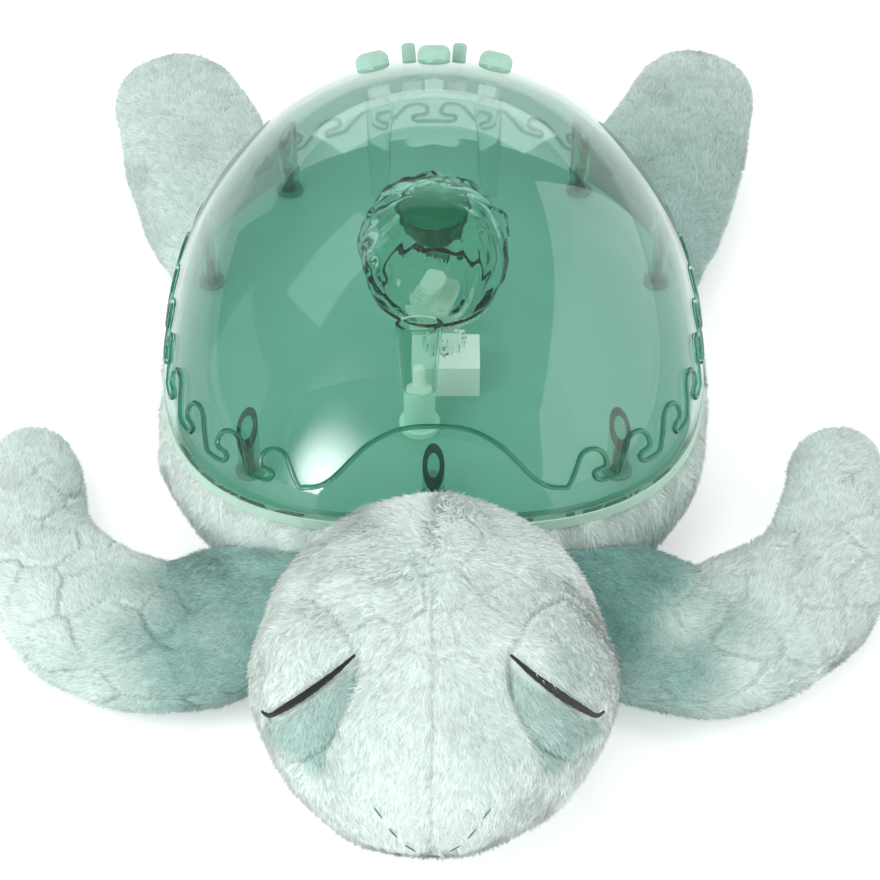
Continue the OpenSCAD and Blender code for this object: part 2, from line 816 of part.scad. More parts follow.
body_rings = 8;
lip_tuck = 2;
function body_grow(u) = body_swell * sin(180 * u) - belly_tuck * pow(1 - u, 2) - lip_tuck * pow(u, 8);
module body_fill(gap) {
    rings = [
        for (k = [0:body_rings])
            let (u = k / body_rings)
            [for (p = rim_outline(body_grow(u) + gap)) [p[0], p[1], u * body_top]]
    ];
    ring_stack(rings, [0, 0, 0], [0, 0, body_top]);
}

module plush_body() {
    color("lightcyan") at_shell() difference() {
        body_fill(0);
        rim_prism(-tub_inset + soft_gap, -cut, rim_z);
    }
}

// The module's hard rim with a gap round it, which the stuffed pieces keep clear of
module rim_keep_out() {
    rim_prism(flange_over + soft_gap, body_top - cut, rim_z + shell_h);
}

head_y = -(shell_front + head_reach);
head_sink = 0.5;
head_rows = 14;
head_turns = 32;
eye_aim = [0.72, -0.3, 0.3];
eyelid_spread = 24;
function bump(d, aim, spread) = exp(-pow(acos(max(-1, min(1, d * aim / norm(aim)))) / spread, 2));
function head_point(turn, rise, gap) =
    let (d = [cos(rise) * sin(turn), -cos(rise) * cos(turn), sin(rise)])
    let (lids = bump([abs(d[0]), d[1], d[2]], eye_aim, eyelid_spread))
    let (s = 1 + eyelid_swell * lids)
    let (w = head_half_w * s + gap, h = head_half_h * s + gap)
    let (l = (d[1] < 0 ? head_front : head_rear) * s + gap)
    [w * d[0], head_y + l * d[1], max(-gap, head_half_h - head_sink + h * d[2])];

function head_rings(gap) = [
    for (k = [1:head_rows - 1])
        [for (i = [0:head_turns - 1]) head_point(360 * i / head_turns, -90 + 180 * k / head_rows, gap)]
];
module head_fill(gap) {
    ring_stack(head_rings(gap), head_point(0, -90, gap), head_point(0, 90, gap));
}

module plush_head() {
    color("lightcyan") at_shell() difference() {
        head_fill(0);
        body_fill(soft_gap);
        rim_keep_out();
    }
}

// A limb swept along a smooth spine, thinner towards its end and rounded off over its tip
limb_rings = 13;
limb_turns = 16;
limb_sink = 0.5;
front_taper = 0.4;
rear_taper = 0.35;
rear_lift = 12;
front_tip = 0.1;
rear_tip = 0.16;
function spine_at(spine, u) =
    let (last = len(spine) - 1)
    let (k = min(last - 1, floor(u * last)), t = u * last - k)
    let (p0 = spine[max(0, k - 1)], p1 = spine[k], p2 = spine[k + 1], p3 = spine[min(last, k + 2)])
    0.5 * (2 * p1 + (p2 - p0) * t + (2 * p0 - 5 * p1 + 4 * p2 - p3) * t * t
        + (3 * p1 - p0 - 3 * p2 + p3) * t * t * t);
function limb_ring(spine, u, thick, taper, lift, tip) =
    let (p = spine_at(spine, u), q = spine_at(spine, min(1, u + 0.01)), o = spine_at(spine, max(0, u - 0.01)))
    let (run = [q[0] - o[0], q[1] - o[1]] / norm([q[0] - o[0], q[1] - o[1]]))
    let (cap = u > 1 - tip ? sqrt(1 - pow((u - 1 + tip) / tip, 2)) : 1)
    let (deep = thick * (1 - taper * u), z = deep - limb_sink + lift * u * u)
    [
        for (i = [0:limb_turns - 1])
            let (a = 360 * i / limb_turns, side = p[2] * cap * cos(a))
            [p[0] + run[1] * side, p[1] - run[0] * side, max(0, z + deep * cap * sin(a))]
    ];
function limb_steps(tip) = concat(
    [for (k = [0:limb_rings]) (1 - tip) * k / limb_rings],
    [for (a = [25:20:85]) 1 - tip + tip * sin(a)]
);
function limb_list(spine, thick, taper, lift, tip) =
    [for (u = limb_steps(tip)) limb_ring(spine, u, thick, taper, lift, tip)];
module limb(spine, thick, taper, lift, tip) {
    root = spine[0];
    end = spine[len(spine) - 1];
    end_z = thick * (1 - taper) - limb_sink + lift;
    ring_stack(
        limb_list(spine, thick, taper, lift, tip),
        [root[0], root[1], thick - limb_sink],
        [end[0], end[1], end_z]
    );
}

// The shell stands where the whole turtle is centred on the origin
front_extent = -min([for (ring = head_rings(0)) for (p = ring) p[1]]);
rear_rings = limb_list(rear_spine, rear_thick, rear_taper, rear_lift, rear_tip);
rear_extent = rear_anchor[1] + max(concat([rear_spine[4][1]], [for (ring = rear_rings) for (p = ring) p[1]]));
shell_y = (front_extent - rear_extent) / 2;

module front_limb() {
    translate(front_anchor) limb(front_spine, front_thick, front_taper, 0, front_tip);
}
module rear_limb() {
    translate(rear_anchor) limb(rear_spine, rear_thick, rear_taper, rear_lift, rear_tip);
}

module front_flipper() {
    color("lightcyan") difference() {
        front_limb();
        body_fill(soft_gap);
        head_fill(soft_gap);
    }
}
module rear_flipper() {
    color("lightcyan") difference() {
        rear_limb();
        body_fill(soft_gap);
        rim_keep_out();
    }
}

module front_right_flipper() {
    at_shell() front_flipper();
}
module front_left_flipper() {
    at_shell() mirror([1, 0, 0]) front_flipper();
}
module rear_right_flipper() {
    at_shell() rear_flipper();
}
module rear_left_flipper() {
    at_shell() mirror([1, 0, 0]) rear_flipper();
}

plush_body();
plush_head();
front_left_flipper();
front_right_flipper();
rear_left_flipper();
rear_right_flipper();
shell_dome();
base_tray();
deck_plate();
boss_washers();
shell_screws();
ripple_lens();
lens_gear();
lens_spindle();
lamp_post();
lamp_collar();
led_board();
led_lens();
motor();
motor_pinion();
motor_housing();
left_button();
centre_button();
right_button();
small_left_button();
small_right_button();
key_bracket();
tact_switches();
main_board();
board_parts();
board_screws();
speaker();
speaker_cone();
aa_cells();
cell_contacts();
battery_door();
door_screw();
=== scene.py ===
# %% [markdown]
# # A stuffed sea turtle with a light under its shell
# The real object is a plush toy round a hard module: a green see-through dome covers a lamp and a turning
# rippled lens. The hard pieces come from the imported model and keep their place. This lesson dresses them,
# and makes the soft pieces, the clear pieces and the sewn details anew, in the same frame.

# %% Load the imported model
import json
import math

import bmesh
import bpy
import numpy as np
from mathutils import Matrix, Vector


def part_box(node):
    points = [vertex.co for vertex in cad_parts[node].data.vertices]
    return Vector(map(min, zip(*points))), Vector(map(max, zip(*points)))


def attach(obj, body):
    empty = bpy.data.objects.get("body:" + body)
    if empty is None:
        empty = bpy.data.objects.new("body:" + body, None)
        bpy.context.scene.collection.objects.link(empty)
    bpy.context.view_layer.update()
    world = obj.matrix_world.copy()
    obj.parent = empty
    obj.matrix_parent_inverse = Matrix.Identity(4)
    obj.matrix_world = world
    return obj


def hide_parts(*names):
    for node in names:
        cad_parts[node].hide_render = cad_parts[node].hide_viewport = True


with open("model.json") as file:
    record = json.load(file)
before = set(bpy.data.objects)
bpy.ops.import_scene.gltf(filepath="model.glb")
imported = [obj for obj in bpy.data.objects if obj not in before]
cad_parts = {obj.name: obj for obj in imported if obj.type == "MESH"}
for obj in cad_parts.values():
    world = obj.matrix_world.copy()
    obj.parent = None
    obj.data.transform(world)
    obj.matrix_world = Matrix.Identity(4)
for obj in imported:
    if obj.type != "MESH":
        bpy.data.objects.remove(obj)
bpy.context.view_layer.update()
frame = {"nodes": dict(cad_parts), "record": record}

# %% [markdown]
# ## Sizes and small helpers
# The sizes are those of the solids, in millimetres, and a mesh is scaled to metres when it is made. A grid of
# points with faces between its rows is the simplest way to make a smooth skin from a formula.

# %% Sizes of the shell and the stuffed pieces
MM = 0.001
LENS_Y = 2.0
RIM_Z = 47.0
SHELL_HALF_W = 88.0
SHELL_FRONT = 82.0
SHELL_REAR = 106.0
SHELL_H = 88.0
SHELL_WALL = 2.4
CROWN_POWER = 1.85
FRONT_SQUARE = 2.9
REAR_SQUARE = 2.1
FRONT_DIP = 0.6
BODY_TOP = 42.7
TUB_INSET = 16.7
spindle_low, spindle_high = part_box("lens_spindle")
SHELL_Y = (spindle_low[1] + spindle_high[1]) / 2 / MM - LENS_Y
print("shell stands at y", round(SHELL_Y, 2), "mm")


# %% Helpers for numbers
def unit(v):
    return v / np.linalg.norm(v, axis=-1, keepdims=True)


def angle_to(d, way):
    return np.arccos(np.clip(d @ way, -1, 1))


def turn_angles(count):
    return np.linspace(0, 2 * np.pi, count, endpoint=False)


def run_along(points):
    return np.concatenate([[0], np.cumsum(np.linalg.norm(np.diff(points, axis=0), axis=1))])


def soft_step(low, high, value):
    t = np.clip((value - low) / (high - low), 0, 1)
    return t * t * (3 - 2 * t)


def smooth_noise(points, scale, seed, waves=14):
    rng = np.random.default_rng(seed)
    ways = unit(rng.normal(size=(waves, 3)))
    pace = 2 * np.pi / scale * rng.uniform(0.6, 1.5, waves)
    phase = rng.uniform(0, 2 * np.pi, waves)
    return np.sin(points @ (ways * pace[:, None]).T + phase).sum(axis=1) / math.sqrt(waves)


# %% Helpers that make meshes
WELD_GAP = 1e-6


def grid_faces(rows, cols, wrap_rows=False):
    row = np.arange(rows if wrap_rows else rows - 1)[:, None]
    col = np.arange(cols)[None, :]
    next_row = (row + 1) % rows
    next_col = (col + 1) % cols
    corners = [row * cols + col, row * cols + next_col, next_row * cols + next_col, next_row * cols + col]
    return np.stack(np.broadcast_arrays(*corners), axis=-1).reshape(-1, 4).tolist()


def fan_faces(first, count, hub):
    return [(first + i, first + (i + 1) % count, hub) for i in range(count)]


def capped_faces(rows, cols):
    last = rows * cols
    return grid_faces(rows, cols) + fan_faces(0, cols, last) + fan_faces(last - cols, cols, last + 1)


def joined(parts):
    points = []
    faces = []
    for more, loops in parts:
        base = sum(len(p) for p in points)
        faces += [[v + base for v in face] for face in loops]
        points.append(more)
    return np.concatenate(points), faces


def new_object(name, mesh, material):
    piece = bpy.data.objects.new(name, mesh)
    bpy.context.scene.collection.objects.link(piece)
    if material:
        mesh.materials.append(material)
    return piece


def smooth_mesh(name, points, faces, weld):
    mesh = bpy.data.meshes.new(name)
    mesh.from_pydata((np.asarray(points) * MM).tolist(), [], faces)
    work = bmesh.new()
    work.from_mesh(mesh)
    if weld:
        bmesh.ops.remove_doubles(work, verts=work.verts, dist=WELD_GAP)
    bmesh.ops.recalc_face_normals(work, faces=work.faces)
    work.to_mesh(mesh)
    work.free()
    mesh.shade_smooth()
    return mesh


def skin(name, points, faces, material=None):
    return new_object(name, smooth_mesh(name, points, faces, weld=True), material)


def as_plain_mesh(piece):
    depsgraph = bpy.context.evaluated_depsgraph_get()
    mesh = bpy.data.meshes.new_from_object(piece.evaluated_get(depsgraph), depsgraph=depsgraph)
    piece.modifiers.clear()
    piece.data = mesh


def read_vectors(items, field):
    flat = np.empty(len(items) * 3, dtype=np.float32)
    items.foreach_get(field, flat)
    return flat.reshape(-1, 3)


# %% Shell formulas
def rim_square(s):
    return np.where(s < 0, FRONT_SQUARE, REAR_SQUARE)


def rim_length(s):
    return np.where(s < 0, SHELL_FRONT, SHELL_REAR)


def rim_xy(angle, grow):
    c = np.cos(angle)
    s = np.sin(angle)
    n = rim_square(s)
    r = (np.abs(c) ** n + np.abs(s) ** n) ** (-1 / n)
    return (SHELL_HALF_W + grow) * r * c, (rim_length(s) + grow) * r * s


def rim_share(x, y, grow):
    n = rim_square(y)
    across = np.abs(x) / (SHELL_HALF_W + grow)
    along = np.abs(y) / (rim_length(y) + grow)
    return (across ** n + along ** n) ** (1 / n)


def dome_rise(angle, rho):
    flank = 1 - FRONT_DIP * np.maximum(0, -np.sin(angle)) ** 1.5 * rho ** 3
    return flank * np.maximum(0, 1 - rho ** CROWN_POWER) ** (1 / CROWN_POWER)


def climb_share(steps):
    return np.cos(np.radians(steps)) ** (2 / CROWN_POWER)


def dome_point(angle, rho, inset):
    x, y = rim_xy(angle, -inset)
    z = RIM_Z + (SHELL_H - inset) * dome_rise(angle, rho)
    return np.stack(np.broadcast_arrays(x * rho, y * rho + SHELL_Y, z), axis=-1)


def dome_z(x, y, inset=0.0):
    angle = np.arctan2(y / rim_length(y), x / SHELL_HALF_W)
    return RIM_Z + (SHELL_H - inset) * dome_rise(angle, rim_share(x, y, -inset))


def dome_normal(x, y):
    h = 0.5
    dx = (dome_z(x + h, y) - dome_z(x - h, y)) / (2 * h)
    dy = (dome_z(x, y + h) - dome_z(x, y - h)) / (2 * h)
    return unit(np.stack(np.broadcast_arrays(-dx, -dy, np.ones_like(dx)), axis=-1))


print("shell crown at z", round(float(dome_z(np.array(0.01), np.array(0.01))), 1), "mm")

# %% [markdown]
# ## Camera, light and stage
# The photograph looks down on the turtle from the front at 46 degrees with a long lens. A white floor takes
# the shadow, and from below it is see-through, so that the belly shows. Large soft lamps light the fur
# evenly. The glossy dome mirrors two of them, and cards that show only in reflections.

# %% Camera
CAMERA_RISE = math.radians(46)
CAMERA_AWAY = 0.8
aim = (0.002, -0.058 + SHELL_Y * MM, 0.060)
camera_data = bpy.data.cameras.new("photo_camera")
camera_data.lens = 104.9
camera_data.sensor_width = 36
camera = bpy.data.objects.new("photo_camera", camera_data)
camera.location = (
    aim[0],
    aim[1] - CAMERA_AWAY * math.cos(CAMERA_RISE),
    aim[2] + CAMERA_AWAY * math.sin(CAMERA_RISE),
)
camera.rotation_euler = (math.pi / 2 - CAMERA_RISE, 0, 0)
bpy.context.scene.collection.objects.link(camera)
bpy.context.scene.camera = camera
bpy.context.scene.view_settings.view_transform = "Standard"
print("camera at", [round(v, 3) for v in camera.location])


# %% Node helpers
def feed(tree, node, inputs):
    for name, value in inputs.items():
        if isinstance(value, bpy.types.NodeSocket):
            tree.links.new(value, node.inputs[name])
        else:
            node.inputs[name].default_value = value


def add(tree, kind, inputs=None, **settings):
    node = tree.nodes.new(kind)
    for name, value in settings.items():
        setattr(node, name, value)
    feed(tree, node, inputs or {})
    return node


def math_node(tree, operation, first, second, clamp=False):
    return add(tree, "ShaderNodeMath", {0: first, 1: second}, operation=operation, use_clamp=clamp).outputs[0]


def vector_node(tree, operation, first, second):
    key = "Scale" if operation == "SCALE" else 1
    node = add(tree, "ShaderNodeVectorMath", {0: first, key: second}, operation=operation)
    return node.outputs["Value" if operation == "DISTANCE" else "Vector"]


def mix_colour(tree, factor, first, second):
    return add(tree, "ShaderNodeMix", {0: factor, 6: first, 7: second}, data_type="RGBA").outputs[2]


def object_place(tree):
    return add(tree, "ShaderNodeTexCoord").outputs["Object"]


def noise(tree, scale, detail):
    inputs = {"Vector": object_place(tree), "Scale": scale, "Detail": detail}
    return add(tree, "ShaderNodeTexNoise", inputs).outputs["Fac"]


def swing(tree, value, width):
    return math_node(tree, "MULTIPLY", math_node(tree, "SUBTRACT", value, 0.5), width)


def bump_normal(tree, height, strength, distance):
    inputs = {"Height": height, "Strength": strength, "Distance": distance}
    return add(tree, "ShaderNodeBump", inputs).outputs["Normal"]


def soft_spot(tree, place, middle, near, far, top):
    away = vector_node(tree, "DISTANCE", place, middle)
    inputs = {"Value": away, "From Min": far, "From Max": near, "To Max": top}
    return add(tree, "ShaderNodeMapRange", inputs, interpolation_type="SMOOTHSTEP").outputs["Result"]


def choose_shader(tree, factor, first, second):
    choose = add(tree, "ShaderNodeMixShader", {0: factor, 1: first.outputs[0], 2: second.outputs[0]})
    feed(tree, tree.nodes["Material Output"], {"Surface": choose.outputs[0]})


def new_material(name, inputs):
    material = bpy.data.materials.new(name)
    material.use_nodes = True
    tree = material.node_tree
    shader = tree.nodes["Principled BSDF"]
    feed(tree, shader, inputs)
    return material, tree, shader


def linear(red, green, blue):
    steps = [v / 255 for v in (red, green, blue)]
    return tuple(v / 12.92 if v <= 0.04045 else ((v + 0.055) / 1.055) ** 2.4 for v in steps) + (1.0,)


# %% Floor and world
WHITE = (1, 1, 1, 1)
FLOOR_HALF = 6
FLOOR_GAP = 0.0006
FLOOR_GLOW = 0.2
FLOOR_LIFT = 0.16
SKY_GLOW = 0.72
SKY_LIFT = 0.28


def lifted_glow(tree, glow, lift, through):
    path = add(tree, "ShaderNodeLightPath").outputs
    seen = math_node(tree, "MAXIMUM", path["Is Camera Ray"], path["Is Glossy Ray"])
    if through:
        seen = math_node(tree, "MAXIMUM", seen, path["Is Transmission Ray"])
    return math_node(tree, "ADD", math_node(tree, "MULTIPLY", seen, lift), glow)


floor_material, tree, shader = new_material("studio_floor", {
    "Base Color": (0.86, 0.87, 0.87, 1), "Roughness": 0.9, "Emission Color": WHITE,
})
feed(tree, shader, {"Emission Strength": lifted_glow(tree, FLOOR_GLOW, FLOOR_LIFT, through=False)})
from_below = add(tree, "ShaderNodeNewGeometry").outputs["Backfacing"]
choose_shader(tree, from_below, shader, add(tree, "ShaderNodeBsdfTransparent"))
floor_mesh = bpy.data.meshes.new("studio_floor")
floor_corners = [(x * FLOOR_HALF, y * FLOOR_HALF, 0) for x, y in ((-1, -1), (1, -1), (1, 1), (-1, 1))]
floor_mesh.from_pydata(floor_corners, [], [(0, 1, 2, 3)])
floor = new_object("studio_floor", floor_mesh, floor_material)
floor.location.z = -FLOOR_GAP

world = bpy.data.worlds.new("studio_world")
bpy.context.scene.world = world
world.use_nodes = True
tree = world.node_tree
sky_glow = lifted_glow(tree, SKY_GLOW, SKY_LIFT, through=True)
feed(tree, tree.nodes["Background"], {"Color": WHITE, "Strength": sky_glow})
print("stage:", floor.name, world.name)

# %% Lamps
LAMPS = {
    "key_lamp": ((-0.75, -0.55, 1.15), (0, -0.02, 0.05), (0.9, 0.9), 8.8),
    "front_left_lamp": ((-0.36, -1.30, 0.13), (0, -0.06, 0.06), (0.85, 0.6), 7.5),
    "left_lamp": ((-1.3, -0.35, 0.25), (0, -0.02, 0.04), (1.2, 0.5), 3.0),
    "head_lamp": ((0.0, 0.0, 0.85), (0, -0.12, 0.08), (0.3, 0.3), 0.08),
    "right_lamp": ((1.15, -0.25, 0.45), (0, 0, 0.08), (2.4, 0.8), 5.5),
    "back_lamp": ((0.0, 1.3, 0.62), (0, 0, 0.1), (1.6, 0.6), 5.0),
}
MIRRORED_LAMPS = ("front_left_lamp", "back_lamp")
HEAD_LAMP_SPREAD = math.radians(50)


def soft_lamp(name, place, target, size, power):
    data = bpy.data.lights.new(name, "AREA")
    data.shape = "RECTANGLE"
    data.size = size[0]
    data.size_y = size[1]
    data.energy = power
    lamp = bpy.data.objects.new(name, data)
    lamp.location = place
    way = np.array(target) - np.array(place)
    flat = math.hypot(way[0], way[1])
    lamp.rotation_euler = (math.atan2(flat, -way[2]), 0, math.atan2(-way[0], way[1]))
    lamp.visible_glossy = name in MIRRORED_LAMPS
    bpy.context.scene.collection.objects.link(lamp)
    return lamp


def soften_edges(lamp):
    lamp.data.use_nodes = True
    tree = lamp.data.node_tree
    place = add(tree, "ShaderNodeNewGeometry").outputs["Parametric"]
    spot = soft_spot(tree, place, (0.5, 0.5, 0.0), near=0.15, far=0.5, top=2.0)
    feed(tree, tree.nodes["Emission"], {"Strength": spot})


lamps = {name: soft_lamp(name, *facts) for name, facts in LAMPS.items()}
lamps["head_lamp"].data.spread = HEAD_LAMP_SPREAD
soften_edges(lamps["front_left_lamp"])
print("lamps:", ", ".join(lamps))


# %% Cards that only show as reflections
def mirror_card(name, points, faces, glow, middle=None, reach=1.0):
    material, tree, shader = new_material(name, {
        "Base Color": (0, 0, 0, 1), "Emission Color": WHITE, "Emission Strength": glow,
    })
    if middle:
        spot = soft_spot(tree, object_place(tree), middle, near=0.0, far=reach, top=glow)
        feed(tree, shader, {"Emission Strength": spot})
    mesh = bpy.data.meshes.new(name)
    mesh.from_pydata(points, [], faces)
    card = new_object(name, mesh, material)
    card.visible_camera = False
    card.visible_diffuse = False
    card.visible_transmission = False
    card.visible_shadow = False


def canopy(radius, turns, rises):
    rise, turn = np.meshgrid(np.radians(rises), np.radians(turns), indexing="ij")
    flat = radius * np.cos(rise)
    points = np.stack([flat * np.sin(turn), -flat * np.cos(turn), radius * np.sin(rise)], axis=-1)
    cols = len(turns)
    corners = [row * cols + col for row in range(len(rises) - 1) for col in range(cols - 1)]
    return points.reshape(-1, 3).tolist(), [(v, v + 1, v + cols + 1, v + cols) for v in corners]


def upright_card(start, end, low, high):
    return [(*start, low), (*end, low), (*end, high), (*start, high)], [(0, 1, 2, 3)]


mirror_card("dark_canopy", *canopy(5.0, np.linspace(-127, 127, 41), np.linspace(4, 90, 15)), 0.12)
mirror_card("back_canopy", *canopy(5.1, np.linspace(127, 233, 21), np.linspace(16, 90, 12)), 0.12)
mirror_card("right_card", *upright_card((1.3, -7), (1.3, 1.2), 0.03, 1.36), 2.4)
haze = upright_card((-1.2, -1.5), (0.25, -1.5), 0.0, 1.0)
mirror_card("haze_card", *haze, 2.6, middle=(-0.46, -1.5, 0.33), reach=0.62)
patch = upright_card((-0.85, -1.45), (0.05, -1.45), 0.0, 0.6)
mirror_card("patch_card", *patch, 15.0, middle=(-0.40, -1.45, 0.13), reach=0.44)

# %% [markdown]
# ## Finishes of the hard pieces
# Moulded plastic is never quite even: its colour drifts a little and fine grain breaks its shine. That effect
# is one shader group, built once, and each plastic or metal gives it its own values. The group only puts out
# a colour, a roughness and a height, and each material keeps its own shader.

# %% A shader group for moulded surfaces
GRAIN_DEPTH = 0.0004


def sockets(group, way, table):
    for name, (kind, value) in table.items():
        made = group.interface.new_socket(name, in_out=way, socket_type="NodeSocket" + kind)
        if value is not None:
            made.default_value = value


def build_moulded_group():
    group = bpy.data.node_groups.new("moulded_surface", "ShaderNodeTree")
    sockets(group, "INPUT", {
        "Colour": ("Color", (0.8, 0.8, 0.8, 1)),
        "Drift colour": ("Color", (0.7, 0.7, 0.7, 1)),
        "Roughness": ("Float", 0.4),
        "Grain size": ("Float", 1500.0),
    })
    sockets(group, "OUTPUT", {
        "Colour": ("Color", None), "Roughness": ("Float", None), "Height": ("Float", None),
    })
    given = add(group, "NodeGroupInput").outputs
    drift = noise(group, 60, 3)
    grain = noise(group, given["Grain size"], 2)
    add(group, "NodeGroupOutput", {
        "Colour": mix_colour(group, drift, given["Colour"], given["Drift colour"]),
        "Roughness": math_node(group, "ADD", given["Roughness"], swing(group, grain, 0.25), clamp=True),
        "Height": grain,
    })
    return group


moulded_group = build_moulded_group()


def moulded(name, colour, drift, roughness, grain=1500.0, bump=0.06, metallic=0.0):
    material, tree, shader = new_material(name, {"Metallic": metallic})
    surface = add(tree, "ShaderNodeGroup", {
        "Colour": linear(*colour),
        "Drift colour": linear(*drift),
        "Roughness": roughness,
        "Grain size": grain,
    }, node_tree=moulded_group).outputs
    feed(tree, shader, {
        "Base Color": surface["Colour"],
        "Roughness": surface["Roughness"],
        "Normal": bump_normal(tree, surface["Height"], bump, GRAIN_DEPTH),
    })
    return material


# %% Plastics, rubber, metal and boards
finishes = {
    "tray_cream": moulded("tray_cream", (180, 210, 194), (168, 200, 183), 0.42),
    "deck_green": moulded("deck_green", (120, 179, 161), (109, 169, 150), 0.5),
    "rubber": moulded("dark_rubber", (52, 134, 112), (42, 120, 99), 0.75, grain=3000.0),
    "steel": moulded("screw_steel", (176, 178, 176), (150, 152, 151), 0.3, grain=5000.0, metallic=1.0),
    "ivory_plastic": moulded("ivory_plastic", (226, 232, 220), (214, 222, 208), 0.4),
    "pale_green_plastic": moulded("pale_green_plastic", (200, 238, 220), (190, 229, 210), 0.4),
    "white_plastic": moulded("white_plastic", (252, 251, 246), (245, 245, 239), 0.35),
    "led": moulded("lamp_resin", (248, 248, 236), (240, 240, 226), 0.2),
    "black_plastic": moulded("black_plastic", (34, 35, 37), (27, 28, 30), 0.45),
    "board_green": moulded("board_green", (30, 92, 66), (24, 80, 57), 0.35, grain=4000.0),
    "speaker_grey": moulded("speaker_grey", (92, 95, 98), (80, 83, 86), 0.45),
    "cell_grey": moulded("cell_grey", (120, 126, 124), (104, 110, 109), 0.32, metallic=0.6),
    "button_mint": moulded("button_mint", (160, 198, 181), (150, 189, 171), 0.45, grain=2500.0),
}
print("finishes:", ", ".join(finishes))

# %% [markdown]
# ## Clear plastics
# The dome is cast in one green, so its colour is that of the light that comes through a wall. Light has to
# reach the inside as well, and rays towards a lamp don't bend, so for those rays and for scattered light the
# wall acts as a plain coloured film. A slanted ray has more plastic to cross, so the dome is a deeper green
# where it is seen at a slant.

# %% Clear materials
FILM_DEPTH = 0.1
RIPPLE_DEPTH = 0.002


def clear_plastic(name, colour, roughness, bend, ripple=0.0, ripple_size=90.0, slant=None):
    material, tree, shader = new_material(name, {
        "Base Color": colour, "Roughness": roughness, "IOR": bend, "Transmission Weight": 1.0,
    })
    if slant:
        facing = add(tree, "ShaderNodeLayerWeight").outputs["Facing"]
        feed(tree, shader, {"Base Color": mix_colour(tree, facing, colour, slant)})
    if ripple:
        feed(tree, shader, {"Normal": bump_normal(tree, noise(tree, ripple_size, 1), ripple, RIPPLE_DEPTH)})
    film_colour = tuple(v ** FILM_DEPTH for v in colour[:3]) + (1.0,)
    film = add(tree, "ShaderNodeBsdfTransparent", {"Color": film_colour})
    path = add(tree, "ShaderNodeLightPath").outputs
    unbent = math_node(tree, "MAXIMUM", path["Is Shadow Ray"], path["Is Diffuse Ray"])
    choose_shader(tree, unbent, shader, film)
    return material


DOME_SLANT = (0.12, 0.32, 0.26, 1)
dome_green = clear_plastic("dome_green", (0.54, 0.72, 0.66, 1), 0.03, 1.45, 0.03, 40.0, DOME_SLANT)
# The raised line is cast with the dome; its deeper green is painted shade, for the dark look of the thicker
# plastic and its sides.
ridge_green = clear_plastic("ridge_green", (0.20, 0.52, 0.41, 1), 0.05, 1.45)
boss_green = clear_plastic("boss_green", (0.62, 0.84, 0.75, 1), 0.06, 1.15)
lens_clear = clear_plastic("lens_clear", (0.74, 0.88, 0.83, 1), 0.03, 1.22, ripple=0.12, ripple_size=110.0)
gear_clear = clear_plastic("gear_clear", (0.86, 0.95, 0.91, 1), 0.1, 1.1)
gel_green = clear_plastic("gel_green", (0.05, 0.42, 0.28, 1), 0.15, 1.2)
finishes["clear"] = lens_clear
clears = (dome_green, ridge_green, boss_green, lens_clear, gear_clear, gel_green)
print("clear materials:", ", ".join(material.name for material in clears))

# %% [markdown]
# ## The shell
# The dome is a thin wall: an outer and an inner skin that meet at the rim, both from one formula. The five
# button holes are cut with one Boolean, because holes at odd slants don't fit a grid.

# %% Dome wall
DOME_TURNS = 240
DOME_ROWS = 64


def dome_rows(inset):
    rho = climb_share(90 * np.arange(DOME_ROWS) / DOME_ROWS)
    return dome_point(turn_angles(DOME_TURNS)[None, :], rho[:, None], inset).reshape(-1, 3)


def dome_wall():
    outer = dome_rows(0.0)
    inner = dome_rows(SHELL_WALL)
    count = len(outer)
    tops = [(0, SHELL_Y, RIM_Z + SHELL_H), (0, SHELL_Y, RIM_Z + SHELL_H - SHELL_WALL)]
    faces = grid_faces(DOME_ROWS, DOME_TURNS)
    faces += [[v + count for v in face] for face in grid_faces(DOME_ROWS, DOME_TURNS)]
    faces += fan_faces(count - DOME_TURNS, DOME_TURNS, 2 * count)
    faces += fan_faces(2 * count - DOME_TURNS, DOME_TURNS, 2 * count + 1)
    for i in range(DOME_TURNS):
        j = (i + 1) % DOME_TURNS
        faces.append([i, j, count + j, count + i])
    return skin("shell_skin", np.concatenate([outer, inner, tops]), faces, dome_green)


# %% Places of the buttons
KEY_ROW = SHELL_REAR - 37.5
KEYS = {
    "left_button": (-20.3, KEY_ROW, 5.6, 4.8),
    "centre_button": (0.0, KEY_ROW + 1.5, 5.6, 4.8),
    "right_button": (20.3, KEY_ROW, 5.6, 4.8),
    "small_left_button": (-8.3, KEY_ROW + 9.5, 2.4, 6.4),
    "small_right_button": (8.3, KEY_ROW + 9.5, 2.4, 6.4),
}
KEY_PLAY = 0.3
CUT_REACH = 7.0


def lathe(place, axis, profile, turns=48):
    axis = unit(axis)
    side = unit(np.cross(axis, (0.0, 1.0, 0.3)))
    other = np.cross(axis, side)
    angles = turn_angles(turns)
    ring = np.cos(angles)[:, None] * side + np.sin(angles)[:, None] * other
    rows = [place + r * ring + h * axis for r, h in profile]
    points = np.concatenate(rows + [[place + profile[0][1] * axis], [place + profile[-1][1] * axis]])
    return points, capped_faces(len(profile), turns)


def key_seat(x, y):
    place = np.array([x, y + SHELL_Y, float(dome_z(np.array(x), np.array(y)))])
    return place, dome_normal(np.array(x), np.array(y))


def cut_button_holes(shell):
    plugs = []
    for x, y, radius, _ in KEYS.values():
        profile = [(radius + KEY_PLAY, -CUT_REACH), (radius + KEY_PLAY, CUT_REACH)]
        plugs.append(lathe(*key_seat(x, y), profile))
    cutter = skin("hole_cutter", *joined(plugs))
    cut = shell.modifiers.new("button_holes", "BOOLEAN")
    cut.operation = "DIFFERENCE"
    cut.solver = "EXACT"
    cut.object = cutter
    as_plain_mesh(shell)
    bpy.data.objects.remove(cutter)


